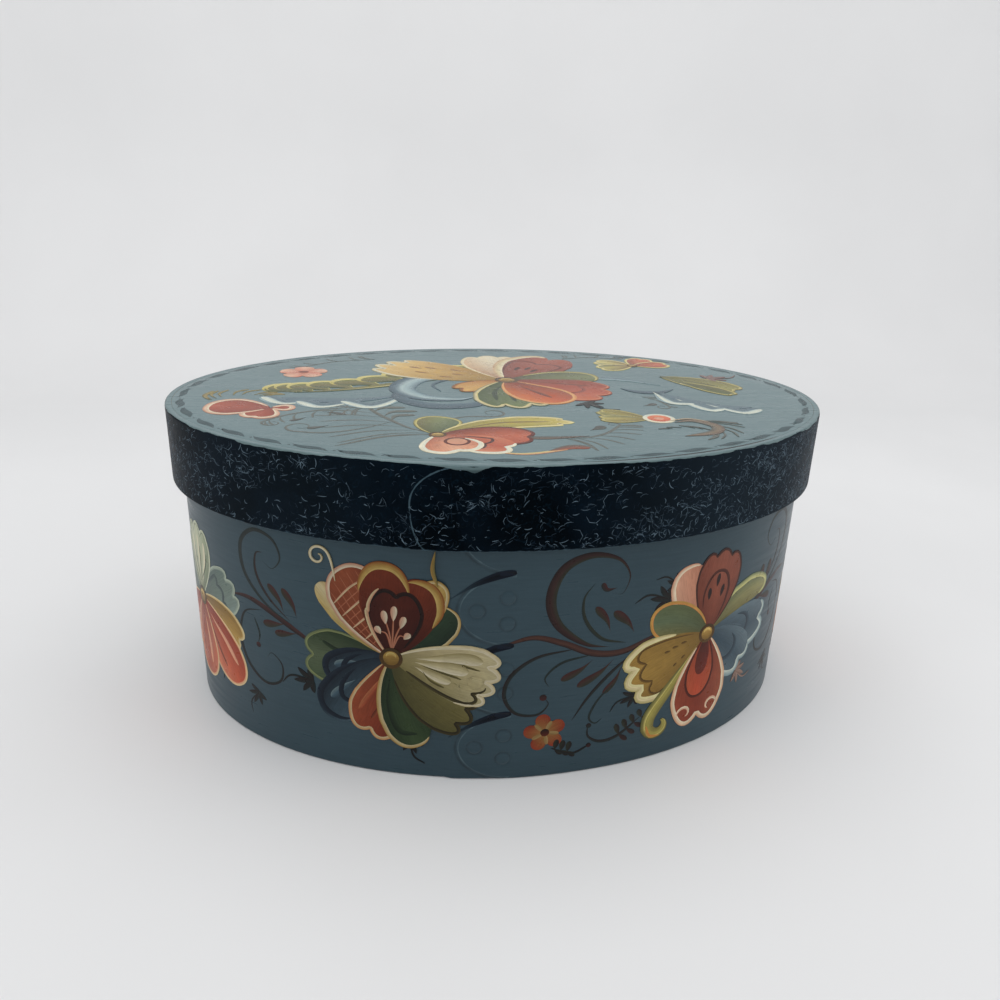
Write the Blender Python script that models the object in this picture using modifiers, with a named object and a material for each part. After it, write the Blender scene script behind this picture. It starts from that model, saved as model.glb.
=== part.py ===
"""An oval bentwood box with a lift-off lid, at its real size.

Each of the two bands is one thin strip of wood, bent round until its thinned outer end laps over
its own start, where clinched tacks hold it. A board is pegged into each band. Metres, +Z up, the
origin under the middle of the box on the surface it stands on, and the lapped front faces -Y.
"""

import math

import bmesh
import bpy
import numpy as np

# The body: a band round a bottom board
BODY_LENGTH = 0.2906
BODY_WIDTH = 0.2032
BODY_HEIGHT = 0.1331
BODY_WALL = 0.0028
BOTTOM_THICKNESS = 0.006

# The lid: a band round a top board that rests on the rim of the body
LID_BAND_HEIGHT = 0.0335
LID_WALL = 0.0028
LID_BOARD_THICKNESS = 0.006
LID_CLEARANCE = 0.0019

# The laps: places along the outside of a band count from the front middle, positive towards +X
LAP_LENGTH = 0.0615
LAP_FEATHER = 0.0005
LAP_TIP_THICKNESS = 0.0007
BODY_LAP_TIP = -0.0265
LID_LAP_TIP = -0.045

# The outer end of the body band is sawn into round fingers
FINGER_COUNT = 4
FINGER_LENGTH = 0.021
FINGER_SLOT = 0.001
TOP_FINGER_HEIGHT = 0.0382

# The outer end of the lid band is one lopsided tongue
TONGUE_TIP_HEIGHT = 0.0182
TONGUE_LOWER_SWEEP = 0.007
TONGUE_UPPER_SWEEP = 0.022

# Three tacks in a triangle hold each finger, and three hold the tongue
TACK_HEAD_RADIUS = 0.0026
TACK_HEAD_THICKNESS = 0.00045
TACK_HEAD_SINK = 0.0005
TACK_SHANK_RADIUS = 0.0008
TACK_CLINCH_RADIUS = 0.0015
TACK_CLINCH_SINK = 0.0008
TACK_FROM_TIP = 0.0071
TACK_PAIR_FROM_TIP = 0.0189
TACK_PAIR_SPREAD = 0.0112

# Wooden pegs through each band into its board
PEG_COUNT = 8
PEG_RADIUS = 0.00125
PEG_LENGTH = 0.012

# The gap between pieces that touch, and how finely curves are cut into flats
FIT_GAP = 0.0003
BAND_STEP = 0.006
ARC_SAMPLES = 4001
OUTLINE_STEPS = 10
ROUND_STEPS = 10
WELD_DISTANCE = 0.00001
CUTTER_REACH = 0.006

SLATE_BLUE = (0.085, 0.135, 0.160)
NIGHT_BLUE = (0.010, 0.017, 0.028)
PALE_WOOD = (0.560, 0.390, 0.220)
PEG_WOOD = (0.400, 0.250, 0.130)
PAINTED_TACK = (0.090, 0.125, 0.145)

LID_LENGTH = BODY_LENGTH + 2 * (LID_CLEARANCE + LID_WALL)
LID_WIDTH = BODY_WIDTH + 2 * (LID_CLEARANCE + LID_WALL)
TOTAL_HEIGHT = BODY_HEIGHT + FIT_GAP + LID_BOARD_THICKNESS
LID_BAND_BASE = TOTAL_HEIGHT - LID_BAND_HEIGHT


class Oval:
    """An ellipse seen from above, whose points are found by their distance along it."""

    def __init__(self, length, width):
        self.half_length = length / 2
        self.half_width = width / 2
        self.angles = np.linspace(-2 * math.pi, 2 * math.pi, ARC_SAMPLES)
        speeds = np.hypot(
            self.half_length * np.cos(self.angles), self.half_width * np.sin(self.angles)
        )
        steps = (speeds[1:] + speeds[:-1]) / 2 * np.diff(self.angles)
        arcs = np.concatenate([[0.0], np.cumsum(steps)])
        self.perimeter = arcs[-1] / 2
        self.arcs = arcs - self.perimeter

    def point(self, arc, offset=0.0):
        """The point at this arc length from the front middle, moved outwards by offset."""
        angle = float(np.interp(arc, self.arcs, self.angles))
        across, ahead = self.normal(arc)
        x = self.half_length * math.sin(angle) + offset * across
        y = -self.half_width * math.cos(angle) + offset * ahead
        return x, y

    def normal(self, arc):
        """The outward direction at this arc length."""
        angle = float(np.interp(arc, self.arcs, self.angles))
        across = self.half_width * math.sin(angle)
        ahead = -self.half_length * math.cos(angle)
        size = math.hypot(across, ahead)
        return across / size, ahead / size

    def heading(self, arc):
        """How far the outward direction is turned from -Y towards +X."""
        across, ahead = self.normal(arc)
        return math.atan2(across, -ahead)


class Strip:
    """The plan of one band: a full turn, whose outer end lies over its own thinned start."""

    def __init__(self, oval, wall, tip):
        self.oval = oval
        self.wall = wall
        self.tip = tip

    def share(self, arc):
        """How far along the lap an arc length is: 0 at the outer end, 1 at the inner end."""
        return min(max((arc - self.tip) / LAP_LENGTH, 0.0), 1.0)

    def inner_layer(self, arc):
        """The offset of the inner layer's outer face, which is skived down towards its end."""
        return -(self.wall - LAP_FEATHER) * self.share(arc)

    def outer_layer(self, arc):
        """The offset of the outer layer's outer face, which settles back into the oval."""
        share = self.share(arc)
        return (FIT_GAP + LAP_TIP_THICKNESS) * (1 - share * share * (3 - 2 * share))

    def surface(self, arc):
        """The offset of the outermost face at this arc length."""
        if arc < self.tip or arc > self.tip + LAP_LENGTH:
            return 0.0
        return self.outer_layer(arc)

    def outline(self):
        """The closed outline of the strip: its outer face, then its inner face back again."""
        lap_end = self.tip + LAP_LENGTH
        step_arc = lap_end + FIT_GAP - self.oval.perimeter
        lap = np.linspace(self.tip, lap_end, 1 + round(LAP_LENGTH / BAND_STEP))
        turns = round((self.tip - step_arc) / BAND_STEP)
        ring = np.linspace(step_arc, self.tip, 1 + turns)
        points = [self.oval.point(arc, self.inner_layer(arc)) for arc in lap[::-1]]
        points += [self.oval.point(arc) for arc in ring[-2::-1]]
        points += [self.oval.point(arc, self.outer_layer(arc)) for arc in lap[::-1]]
        points += [self.oval.point(arc, self.inner_layer(arc) + FIT_GAP) for arc in lap]
        points.append(self.oval.point(step_arc, self.inner_layer(lap_end) + FIT_GAP))
        points += [self.oval.point(arc, -self.wall) for arc in ring]
        points += [self.oval.point(arc, -self.wall) for arc in lap[1:]]
        return points

    def outer_layer_slab(self, start, end):
        """A plan outline that holds the outer layer alone between two arc lengths."""
        arcs = np.linspace(start, end, 1 + round((end - start) / BAND_STEP))
        inside = [self.oval.point(arc, self.inner_layer(arc) + FIT_GAP / 2) for arc in arcs]
        outside = [self.oval.point(arc, CUTTER_REACH) for arc in arcs[::-1]]
        return inside + outside


def clear_scene():
    for item in list(bpy.data.objects):
        bpy.data.objects.remove(item)


def collection_named(name):
    made = bpy.data.collections.new(name)
    bpy.context.scene.collection.children.link(made)
    return made


def empty_at(name, collection, height):
    """An empty on the middle axis, which carries the pieces that move together."""
    made = bpy.data.objects.new(name, None)
    made.location = (0.0, 0.0, height)
    collection.objects.link(made)
    return made


def finish(name, colour, roughness, metallic=0.0):
    material = bpy.data.materials.new(name)
    material.use_nodes = True
    shader = material.node_tree.nodes["Principled BSDF"]
    shader.inputs["Base Color"].default_value = (*colour, 1.0)
    shader.inputs["Roughness"].default_value = roughness
    shader.inputs["Metallic"].default_value = metallic
    return material


def extruded(name, collection, outline, thickness):
    """A mesh made from a flat outline, half its thickness to each side of the local XY plane."""
    curve = bpy.data.curves.new(name, "CURVE")
    curve.dimensions = "2D"
    curve.fill_mode = "BOTH"
    curve.extrude = thickness / 2
    spline = curve.splines.new("POLY")
    spline.points.add(len(outline) - 1)
    for point, (x, y) in zip(spline.points, outline):
        point.co = (x, y, 0.0, 1.0)
    spline.use_cyclic_u = True
    drawn = bpy.data.objects.new(name + "_outline", curve)
    collection.objects.link(drawn)
    bpy.context.view_layer.update()
    graph = bpy.context.evaluated_depsgraph_get()
    mesh = bpy.data.meshes.new_from_object(drawn.evaluated_get(graph))
    shape = bmesh.new()
    shape.from_mesh(mesh)
    bmesh.ops.remove_doubles(shape, verts=shape.verts, dist=WELD_DISTANCE)
    bmesh.ops.recalc_face_normals(shape, faces=shape.faces)
    shape.to_mesh(mesh)
    shape.free()
    mesh.name = name
    solid = bpy.data.objects.new(name, mesh)
    solid.matrix_world = drawn.matrix_world
    collection.objects.link(solid)
    bpy.data.objects.remove(drawn)
    return solid


def turned(name, collection, profile):
    """A turned shape about local Z, from a profile that runs down its outer side."""
    mesh = bpy.data.meshes.new(name)
    edges = [(i, i + 1) for i in range(len(profile) - 1)]
    mesh.from_pydata([(radius, 0.0, height) for radius, height in profile], edges, [])
    made = bpy.data.objects.new(name, mesh)
    collection.objects.link(made)
    screw = made.modifiers.new("Turning", "SCREW")
    screw.axis = "Z"
    screw.steps = ROUND_STEPS
    screw.render_steps = ROUND_STEPS
    screw.use_merge_vertices = True
    screw.merge_threshold = WELD_DISTANCE
    screw.use_smooth_shade = True
    return made


def boolean(target, other, operation):
    modifier = target.modifiers.new(operation.title() + "_" + other.name, "BOOLEAN")
    modifier.operation = operation
    modifier.solver = "EXACT"
    modifier.object = other


def as_cutter(item):
    item.display_type = "WIRE"
    item.hide_render = True


def set_facing(item, strip, arc, offset, height):
    """Places a piece on the band with its local Z pointing straight out of it."""
    x, y = strip.oval.point(arc, offset)
    item.location = (x, y, height)
    item.rotation_euler = (math.pi / 2, 0.0, strip.oval.heading(arc))


def finger_edges():
    """The heights of the slots between the fingers, with the band's own two edges."""
    shared = BODY_HEIGHT - TOP_FINGER_HEIGHT
    lower = [shared * index / (FINGER_COUNT - 1) for index in range(FINGER_COUNT)]
    return lower + [BODY_HEIGHT]


def finger_waste(strip):
    """The front view of the wood that is sawn away round the fingers."""
    root = strip.tip + FINGER_LENGTH
    root_x = strip.oval.point(root)[0]
    far_x = strip.oval.point(strip.tip - CUTTER_REACH)[0]
    outline = [(far_x, -CUTTER_REACH), (root_x, -CUTTER_REACH)]
    edges = finger_edges()
    for lower, upper in zip(edges, edges[1:]):
        middle = (lower + upper) / 2
        reach = (upper - lower - FINGER_SLOT) / 2
        for step in range(OUTLINE_STEPS + 1):
            turn = math.pi * step / OUTLINE_STEPS
            arc = root - FINGER_LENGTH * math.sin(turn)
            outline.append((strip.oval.point(arc)[0], middle - reach * math.cos(turn)))
    outline += [(root_x, BODY_HEIGHT + CUTTER_REACH), (far_x, BODY_HEIGHT + CUTTER_REACH)]
    return outline


def tongue_waste(strip):
    """The front view of the wood that is cut away round the tongue of the lid band."""
    far_x = strip.oval.point(strip.tip - CUTTER_REACH)[0]
    rise = LID_BAND_HEIGHT - TONGUE_TIP_HEIGHT
    below = []
    above = []
    for step in range(OUTLINE_STEPS + 1):
        turn = math.pi / 2 * step / OUTLINE_STEPS
        lower_arc = strip.tip + TONGUE_LOWER_SWEEP * (1 - math.cos(turn))
        upper_arc = strip.tip + TONGUE_UPPER_SWEEP * (1 - math.cos(turn))
        lower_height = TONGUE_TIP_HEIGHT * (1 - math.sin(turn))
        upper_height = TONGUE_TIP_HEIGHT + rise * math.sin(turn)
        below.append((strip.oval.point(lower_arc)[0], lower_height))
        above.append((strip.oval.point(upper_arc)[0], upper_height))
    outline = [(far_x, -CUTTER_REACH), (below[-1][0], -CUTTER_REACH)]
    outline += below[:0:-1] + above
    outline += [(above[-1][0], LID_BAND_HEIGHT + CUTTER_REACH)]
    outline += [(far_x, LID_BAND_HEIGHT + CUTTER_REACH)]
    return outline


def end_cutter(name, strip, waste, sweep, base, height, cutters):
    """What shapes the outer end of a band: the waste, kept to the outer layer of the lap."""
    depth = strip.oval.half_width
    view = extruded(name, cutters, waste, depth)
    view.location = (0.0, -strip.oval.half_width, base)
    view.rotation_euler = (math.pi / 2, 0.0, 0.0)
    plan = strip.outer_layer_slab(strip.tip - CUTTER_REACH, strip.tip + sweep + BAND_STEP)
    slab = extruded(name + "_slab", cutters, plan, height + 2 * CUTTER_REACH)
    slab.location = (0.0, 0.0, base + height / 2)
    boolean(view, slab, "INTERSECT")
    as_cutter(view)
    as_cutter(slab)
    return view


def band(name, strip, height, base, waste, sweep, parts, cutters, material):
    made = extruded(name, parts, strip.outline(), height)
    made.location = (0.0, 0.0, base + height / 2)
    made.data.materials.append(material)
    made.data.shade_smooth()
    made.data.set_sharp_from_angle(angle=math.radians(30))
    cutter = end_cutter(name + "_end_cutter", strip, waste, sweep, base, height, cutters)
    boolean(made, cutter, "DIFFERENCE")
    return made


def board(name, strip, thickness, base, parts, material):
    """A flat oval board that fits inside a band."""
    inset = strip.wall + FIT_GAP
    count = round(strip.oval.perimeter / BAND_STEP)
    arcs = [strip.oval.perimeter * index / count for index in range(count)]
    outline = [strip.oval.point(arc, -inset) for arc in arcs]
    made = extruded(name, parts, outline, thickness)
    made.location = (0.0, 0.0, base + thickness / 2)
    made.data.materials.append(material)
    made.data.shade_smooth()
    made.data.set_sharp_from_angle(angle=math.radians(30))
    return made


def tack_profile(grip):
    """A tack seen from the side: a low domed head, a shank, and its end clinched into a button."""
    underside = FIT_GAP - TACK_HEAD_SINK
    crown = underside + TACK_HEAD_THICKNESS
    rim = underside + TACK_HEAD_THICKNESS / 2
    clinch_top = TACK_CLINCH_SINK - FIT_GAP - grip
    return [
        (0.0, crown),
        (TACK_HEAD_RADIUS / 2, (crown * 3 + rim) / 4),
        (TACK_HEAD_RADIUS, rim),
        (TACK_HEAD_RADIUS, underside),
        (TACK_SHANK_RADIUS, underside),
        (TACK_SHANK_RADIUS, clinch_top),
        (TACK_CLINCH_RADIUS, clinch_top),
        (TACK_CLINCH_RADIUS, -grip),
        (0.0, -grip),
    ]


def tack_bore_profile(grip):
    """The hole that a tack sits in: a sinking for its head, a bore, and a pocket for its end."""
    head = TACK_HEAD_RADIUS + FIT_GAP
    shank = TACK_SHANK_RADIUS + FIT_GAP
    clinch = TACK_CLINCH_RADIUS + FIT_GAP
    return [
        (0.0, CUTTER_REACH),
        (head, CUTTER_REACH),
        (head, -TACK_HEAD_SINK),
        (shank, -TACK_HEAD_SINK),
        (shank, TACK_CLINCH_SINK - grip),
        (clinch, TACK_CLINCH_SINK - grip),
        (clinch, -grip - CUTTER_REACH),
        (0.0, -grip - CUTTER_REACH),
    ]


def add_tacks(prefix, strip, wood, height, parent, parts, cutters, material):
    """Three tacks in a triangle through the lap, about the given height of its tip."""
    near = strip.tip + TACK_FROM_TIP
    far = strip.tip + TACK_PAIR_FROM_TIP
    places = {
        "tip": (near, height),
        "upper": (far, height + TACK_PAIR_SPREAD / 2),
        "lower": (far, height - TACK_PAIR_SPREAD / 2),
    }
    for place, (arc, at_height) in places.items():
        surface = strip.surface(arc)
        grip = surface + strip.wall
        name = f"{prefix}_{place}"
        tack = turned(name, parts, tack_profile(grip))
        tack.data.materials.append(material)
        set_facing(tack, strip, arc, surface, at_height)
        hold(tack, parent)
        bore = turned(name + "_bore", cutters, tack_bore_profile(grip))
        set_facing(bore, strip, arc, surface, at_height)
        as_cutter(bore)
        boolean(wood, bore, "DIFFERENCE")


def rod(name, collection, radius, length):
    """A plain round rod along local Z, about its own middle."""
    mesh = bpy.data.meshes.new(name)
    shape = bmesh.new()
    bmesh.ops.create_cone(
        shape,
        cap_ends=True,
        segments=ROUND_STEPS,
        radius1=radius,
        radius2=radius,
        depth=length,
    )
    shape.to_mesh(mesh)
    shape.free()
    mesh.shade_smooth()
    mesh.set_sharp_from_angle(angle=math.radians(40))
    made = bpy.data.objects.new(name, mesh)
    collection.objects.link(made)
    return made


def add_pegs(prefix, strip, woods, height, parent, parts, cutters, material):
    """Pegs spaced evenly round a band, flush with its face and driven into its board."""
    hole_length = PEG_LENGTH + FIT_GAP + CUTTER_REACH
    for index in range(PEG_COUNT):
        arc = strip.oval.perimeter * ((index + 0.5) / PEG_COUNT - 0.5)
        surface = strip.surface(arc)
        peg = rod(f"{prefix}_{index + 1}", parts, PEG_RADIUS, PEG_LENGTH)
        peg.data.materials.append(material)
        set_facing(peg, strip, arc, surface - PEG_LENGTH / 2, height)
        hold(peg, parent)
        hole = rod(peg.name + "_hole", cutters, PEG_RADIUS + FIT_GAP, hole_length)
        middle = surface + CUTTER_REACH - hole_length / 2
        set_facing(hole, strip, arc, middle, height)
        as_cutter(hole)
        for wood in woods:
            boolean(wood, hole, "DIFFERENCE")


def hold(item, parent):
    """Parents a piece without moving it."""
    item.parent = parent
    item.matrix_parent_inverse = parent.matrix_world.inverted()


clear_scene()
parts = collection_named("bentwood_box")
cutters = collection_named("cutters")
box_frame = empty_at("box_frame", parts, 0.0)
lid_slide = empty_at("lid_slide", parts, BODY_HEIGHT)
bpy.context.view_layer.update()

body_paint = finish("body_paint", SLATE_BLUE, 0.5)
lid_band_paint = finish("lid_band_paint", NIGHT_BLUE, 0.45)
lid_top_paint = finish("lid_top_paint", SLATE_BLUE, 0.45)
bare_wood = finish("bare_wood", PALE_WOOD, 0.6)
peg_wood = finish("peg_wood", PEG_WOOD, 0.6)
tack_metal = finish("tack_metal", PAINTED_TACK, 0.4, 0.3)

body_strip = Strip(Oval(BODY_LENGTH, BODY_WIDTH), BODY_WALL, BODY_LAP_TIP)
lid_strip = Strip(Oval(LID_LENGTH, LID_WIDTH), LID_WALL, LID_LAP_TIP)

body_band = band(
    "body_band",
    body_strip,
    BODY_HEIGHT,
    0.0,
    finger_waste(body_strip),
    FINGER_LENGTH,
    parts,
    cutters,
    body_paint,
)
bottom_board = board("bottom_board", body_strip, BOTTOM_THICKNESS, 0.0, parts, bare_wood)
hold(body_band, box_frame)
hold(bottom_board, box_frame)

lid_band = band(
    "lid_band",
    lid_strip,
    LID_BAND_HEIGHT,
    LID_BAND_BASE,
    tongue_waste(lid_strip),
    TONGUE_UPPER_SWEEP,
    parts,
    cutters,
    lid_band_paint,
)
lid_board_base = TOTAL_HEIGHT - LID_BOARD_THICKNESS
lid_board = board(
    "lid_board", lid_strip, LID_BOARD_THICKNESS, lid_board_base, parts, lid_top_paint
)
hold(lid_band, lid_slide)
hold(lid_board, lid_slide)

finger_limits = finger_edges()
for finger in range(FINGER_COUNT):
    finger_middle = (finger_limits[finger] + finger_limits[finger + 1]) / 2
    prefix = f"body_tack_{finger + 1}"
    add_tacks(prefix, body_strip, body_band, finger_middle, box_frame, parts, cutters, tack_metal)
tongue_middle = LID_BAND_BASE + TONGUE_TIP_HEIGHT
add_tacks("lid_tack", lid_strip, lid_band, tongue_middle, lid_slide, parts, cutters, tack_metal)

bottom_woods = (body_band, bottom_board)
bottom_middle = BOTTOM_THICKNESS / 2
add_pegs("bottom_peg", body_strip, bottom_woods, bottom_middle, box_frame, parts, cutters, peg_wood)
lid_woods = (lid_band, lid_board)
lid_board_middle = TOTAL_HEIGHT - LID_BOARD_THICKNESS / 2
add_pegs("lid_peg", lid_strip, lid_woods, lid_board_middle, lid_slide, parts, cutters, peg_wood)
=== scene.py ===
import math
import random

import bpy
import numpy as np
from mathutils import Matrix, Vector


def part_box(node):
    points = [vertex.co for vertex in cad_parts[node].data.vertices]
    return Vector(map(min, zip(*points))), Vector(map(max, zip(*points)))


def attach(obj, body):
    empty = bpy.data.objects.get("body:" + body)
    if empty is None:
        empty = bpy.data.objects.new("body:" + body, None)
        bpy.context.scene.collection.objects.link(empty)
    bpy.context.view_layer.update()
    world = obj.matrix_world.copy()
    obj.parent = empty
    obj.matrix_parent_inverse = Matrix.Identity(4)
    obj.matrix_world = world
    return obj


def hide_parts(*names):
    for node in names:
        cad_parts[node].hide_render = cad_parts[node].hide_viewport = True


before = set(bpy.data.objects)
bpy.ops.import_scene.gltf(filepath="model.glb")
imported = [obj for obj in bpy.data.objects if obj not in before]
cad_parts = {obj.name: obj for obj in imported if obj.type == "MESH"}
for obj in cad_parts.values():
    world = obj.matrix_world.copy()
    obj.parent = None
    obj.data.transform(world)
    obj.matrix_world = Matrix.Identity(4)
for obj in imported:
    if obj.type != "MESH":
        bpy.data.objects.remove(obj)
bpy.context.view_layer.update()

# Camera
# A phone held a little above and to the left of the box, looking down at its lapped front. Its
# place, turn and lens were worked out from the outlines of the two ovals in the photograph.
CAMERA_PLACE = (-0.0490, -0.3832, 0.2349)
CAMERA_TURN = math.radians(7.48)
CAMERA_DROP = math.radians(21.19)
CAMERA_ROLL = math.radians(1.82)
CAMERA_LENS = 30.15

camera_data = bpy.data.cameras.new("camera")
camera_data.lens = CAMERA_LENS
camera_data.sensor_width = 36.0
camera_data.clip_start = 0.01
camera = bpy.data.objects.new("camera", camera_data)
camera.matrix_world = (
    Matrix.Translation(CAMERA_PLACE)
    @ Matrix.Rotation(-CAMERA_TURN, 4, "Z")
    @ Matrix.Rotation(math.pi / 2 - CAMERA_DROP, 4, "X")
    @ Matrix.Rotation(CAMERA_ROLL, 4, "Z")
)
bpy.context.scene.collection.objects.link(camera)
bpy.context.scene.camera = camera

# Body band
# One thin strip of wood, steamed and bent into an oval, whose outer end is thinned, sawn into four
# round fingers and tacked over its start. Slate blue paint covers it outside and round the rims.
MM = 0.001
WALL = 2.8
PAINT_FILM = 0.05
RIM_ROUNDING = 0.7
CORNER_STEPS = 3
LAP_LENGTH = 61.5
LAP_FEATHER = 0.5
LAP_RISE = 1.0
LAP_FILL = 0.75
ROOT_FILL = 0.35
FILL_REACH = 20.0
BODY_LAP_TIP = -26.5
FINGER_LENGTH = 21.0
FINGER_SLOT = 1.0
FINGER_SOFTNESS = 1.4
FINGER_ROOTS = (0.0, 31.63, 63.27, 94.9, 133.1)
FINGERS = tuple(zip(FINGER_ROOTS, FINGER_ROOTS[1:]))
TACK_PLACES = ((7.1, 0.0), (18.9, 5.6), (18.9, -5.6))
TACK_RADIUS = 2.6
TACK_DOME = 0.30
TACK_DIMPLE = 0.26
DIMPLE_RADIUS = TACK_RADIUS + 0.5
INNER_FACE = 0.1 - WALL
LAP_MARGIN = 2.5
LONG_STEP = 3.0
BODY_FINE_STEP = 0.3
BODY_ROW_STEP = 0.5
BODY_VARNISH = (0.27, 0.4)
BODY_INDEX = 1.34
RIM_WEAR_AND_EDGE_HIGHLIGHT = 0.8
FINGER_GRIME_AND_SHADE = 0.9
TACK_GRIME_AND_SHADE = 0.52


def oval_table(half_length, half_width):
    """An ellipse, with the lengths along it counted from the front middle towards +X."""
    angles = np.linspace(-3 * math.pi, 3 * math.pi, 12001)
    speeds = np.hypot(half_length * np.cos(angles), half_width * np.sin(angles))
    steps = (speeds[1:] + speeds[:-1]) / 2 * np.diff(angles)
    arcs = np.concatenate([[0.0], np.cumsum(steps)])
    perimeter = arcs[-1] / 3
    return {
        "length": half_length,
        "width": half_width,
        "angles": angles,
        "arcs": arcs - arcs[-1] / 2,
        "perimeter": perimeter,
    }


def on_oval(oval, arcs, offsets, heights):
    """Points in metres, at these arc lengths, distances outside the oval and heights in mm."""
    angles = np.interp(arcs, oval["arcs"], oval["angles"])
    across = oval["width"] * np.sin(angles)
    ahead = -oval["length"] * np.cos(angles)
    size = np.hypot(across, ahead)
    x = oval["length"] * np.sin(angles) + offsets * across / size
    y = -oval["width"] * np.cos(angles) + offsets * ahead / size
    return np.stack([x, y, heights + 0.0 * x], axis=-1) * MM


def smooth_step(value):
    value = np.clip(value, 0.0, 1.0)
    return value * value * (3 - 2 * value)


def from_tacks(arcs, heights, tip, middle):
    """How far places lie from the middle of each of the three tacks of a lap."""
    return [
        np.hypot(arcs - tip - from_tip, heights - middle - aside) for from_tip, aside in TACK_PLACES
    ]


def tack_relief(arcs, heights, tip, middle):
    """The low domes that the tack heads make under the paint, each in its ring-shaped dimple."""
    relief = np.zeros_like(arcs)
    for away in from_tacks(arcs, heights, tip, middle):
        dome = TACK_DOME * np.sqrt(np.clip(1 - (away / (TACK_RADIUS + 0.3)) ** 2, 0.0, 1.0))
        ring = TACK_DIMPLE * np.exp(-(((away - DIMPLE_RADIUS) / 0.42) ** 2))
        relief += dome - ring
    return relief


def tack_rings(arcs, heights, tip, middle):
    """1 in the dimples round the tack heads, which are darkened there as painted shade and grime."""
    nearest = np.min(np.abs(np.array(from_tacks(arcs, heights, tip, middle)) - DIMPLE_RADIUS), axis=0)
    return np.exp(-((nearest / 0.5) ** 2))


def lap_offset(arcs, tip, inside):
    """How far the band's face stands out of the oval where inside is 1 on the outer layer."""
    share = np.clip((arcs - tip) / LAP_LENGTH, 0.0, 1.0)
    outer = LAP_RISE * (1 - smooth_step(share))
    filled = LAP_FILL * smooth_step((arcs - tip) / FILL_REACH + 1)
    filled = filled + ROOT_FILL * smooth_step((arcs - tip) / FINGER_LENGTH)
    inner = filled - (WALL - LAP_FEATHER) * share
    outer = np.where(arcs > tip + LAP_LENGTH, 0.0, outer)
    return inner + (outer - inner) * inside


def within_end(ahead, aside, sweep, reach):
    """How many mm a place lies inside a round end, from its shares of the end's two half axes."""
    slope = np.hypot(2 * ahead / sweep, 2 * aside / reach)
    return (1 - ahead**2 - aside**2) / np.maximum(slope, 0.02)


def within_fingers(arcs, heights):
    """How many mm a place lies inside the outline of the fingers, and less than 0 outside it."""
    root = BODY_LAP_TIP + FINGER_LENGTH
    nearest = arcs - root
    for lower, upper in FINGERS:
        reach = (upper - lower - FINGER_SLOT) / 2
        ahead = np.minimum(arcs - root, 0.0) / FINGER_LENGTH
        aside = (heights - (lower + upper) / 2) / reach
        nearest = np.maximum(nearest, within_end(ahead, aside, FINGER_LENGTH, reach))
    return nearest


def body_face(arcs, heights):
    """The offset of the painted face of the body from its oval."""
    arcs, heights = np.broadcast_arrays(np.asarray(arcs, float), np.asarray(heights, float))
    relief = np.zeros_like(arcs)
    for lower, upper in FINGERS:
        relief += tack_relief(arcs, heights, BODY_LAP_TIP, (lower + upper) / 2)
    inside = smooth_step(within_fingers(arcs, heights) / FINGER_SOFTNESS + 0.5)
    return lap_offset(arcs, BODY_LAP_TIP, inside) + relief + PAINT_FILM


def arcs_round(oval, fine_start, fine_end, fine_step, coarse_step):
    """Arc lengths all round an oval, close together where the lap's edge is cut."""
    fine = np.arange(fine_start, fine_end, fine_step)
    rest = oval["perimeter"] - (fine_end - fine_start)
    count = round(rest / coarse_step)
    coarse = fine_end + rest * np.arange(count) / count
    return np.concatenate([fine, coarse])


def smooth_object(name, points, faces, crease=None):
    """A smoothly shaded object, with creases where its faces meet at more than crease degrees."""
    mesh = bpy.data.meshes.new(name)
    mesh.from_pydata(points, [], faces)
    mesh.shade_smooth()
    if crease is not None:
        mesh.set_sharp_from_angle(angle=math.radians(crease))
    made = bpy.data.objects.new(name, mesh)
    bpy.context.scene.collection.objects.link(made)
    return made


def band_mesh(name, oval, arcs, low, high, row_step, face, inner_top=RIM_ROUNDING):
    """A closed band: its painted outer face, two rounded rims and its bare inner face."""
    soft = RIM_ROUNDING
    heights = np.linspace(low + soft, high - soft, 1 + round((high - low) / row_step))
    corner = np.linspace(0.0, math.pi / 2, CORNER_STEPS + 1)[1:]
    columns = [(face(arcs, height), height) for height in heights]
    top = face(arcs, high - soft)
    for turn in corner:
        columns.append((top - soft * (1 - math.cos(turn)), high - soft * (1 - math.sin(turn))))
    for turn in corner[::-1]:
        inset = inner_top * (1 - math.cos(turn))
        columns.append((INNER_FACE + inset, high - inner_top * (1 - math.sin(turn))))
    inside_rows = np.linspace(high - inner_top, low + soft, 1 + round((high - low) / 5))
    for height in inside_rows:
        columns.append((INNER_FACE + 0.0 * arcs, height))
    bottom = face(arcs, low + soft)
    for turn in corner:
        inset = soft * (1 - math.cos(turn))
        columns.append((INNER_FACE + inset, low + soft * (1 - math.sin(turn))))
    for turn in corner[::-1]:
        inset = soft * (1 - math.cos(turn))
        columns.append((bottom - inset, low + soft * (1 - math.sin(turn))))
    points = np.stack([on_oval(oval, arcs, offset, height) for offset, height in columns])
    rows, count = points.shape[:2]
    index = np.arange(rows * count).reshape(rows, count)
    right = np.roll(index, -1, axis=1)
    up = np.roll(index, -1, axis=0)
    corner_up = np.roll(right, -1, axis=0)
    faces = np.stack([index, right, corner_up, up], axis=-1).reshape(-1, 4)
    made = smooth_object(name, points.reshape(-1, 3).tolist(), faces.tolist())
    bare_start = len(heights) + 2 * len(corner) - 1
    bare_rows = np.arange(bare_start, bare_start + len(inside_rows))
    slots = np.zeros((rows, count), np.int32)
    slots[bare_rows] = 1
    made.data.polygons.foreach_set("material_index", slots.reshape(-1))
    return made, points, slots


def linear(red, green, blue):
    """A colour as mixed on the palette, 0 to 255, in the shader's own scale."""
    scaled = np.array([red, green, blue]) / 255
    return np.where(scaled <= 0.04045, scaled / 12.92, ((scaled + 0.055) / 1.055) ** 2.4)


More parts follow.
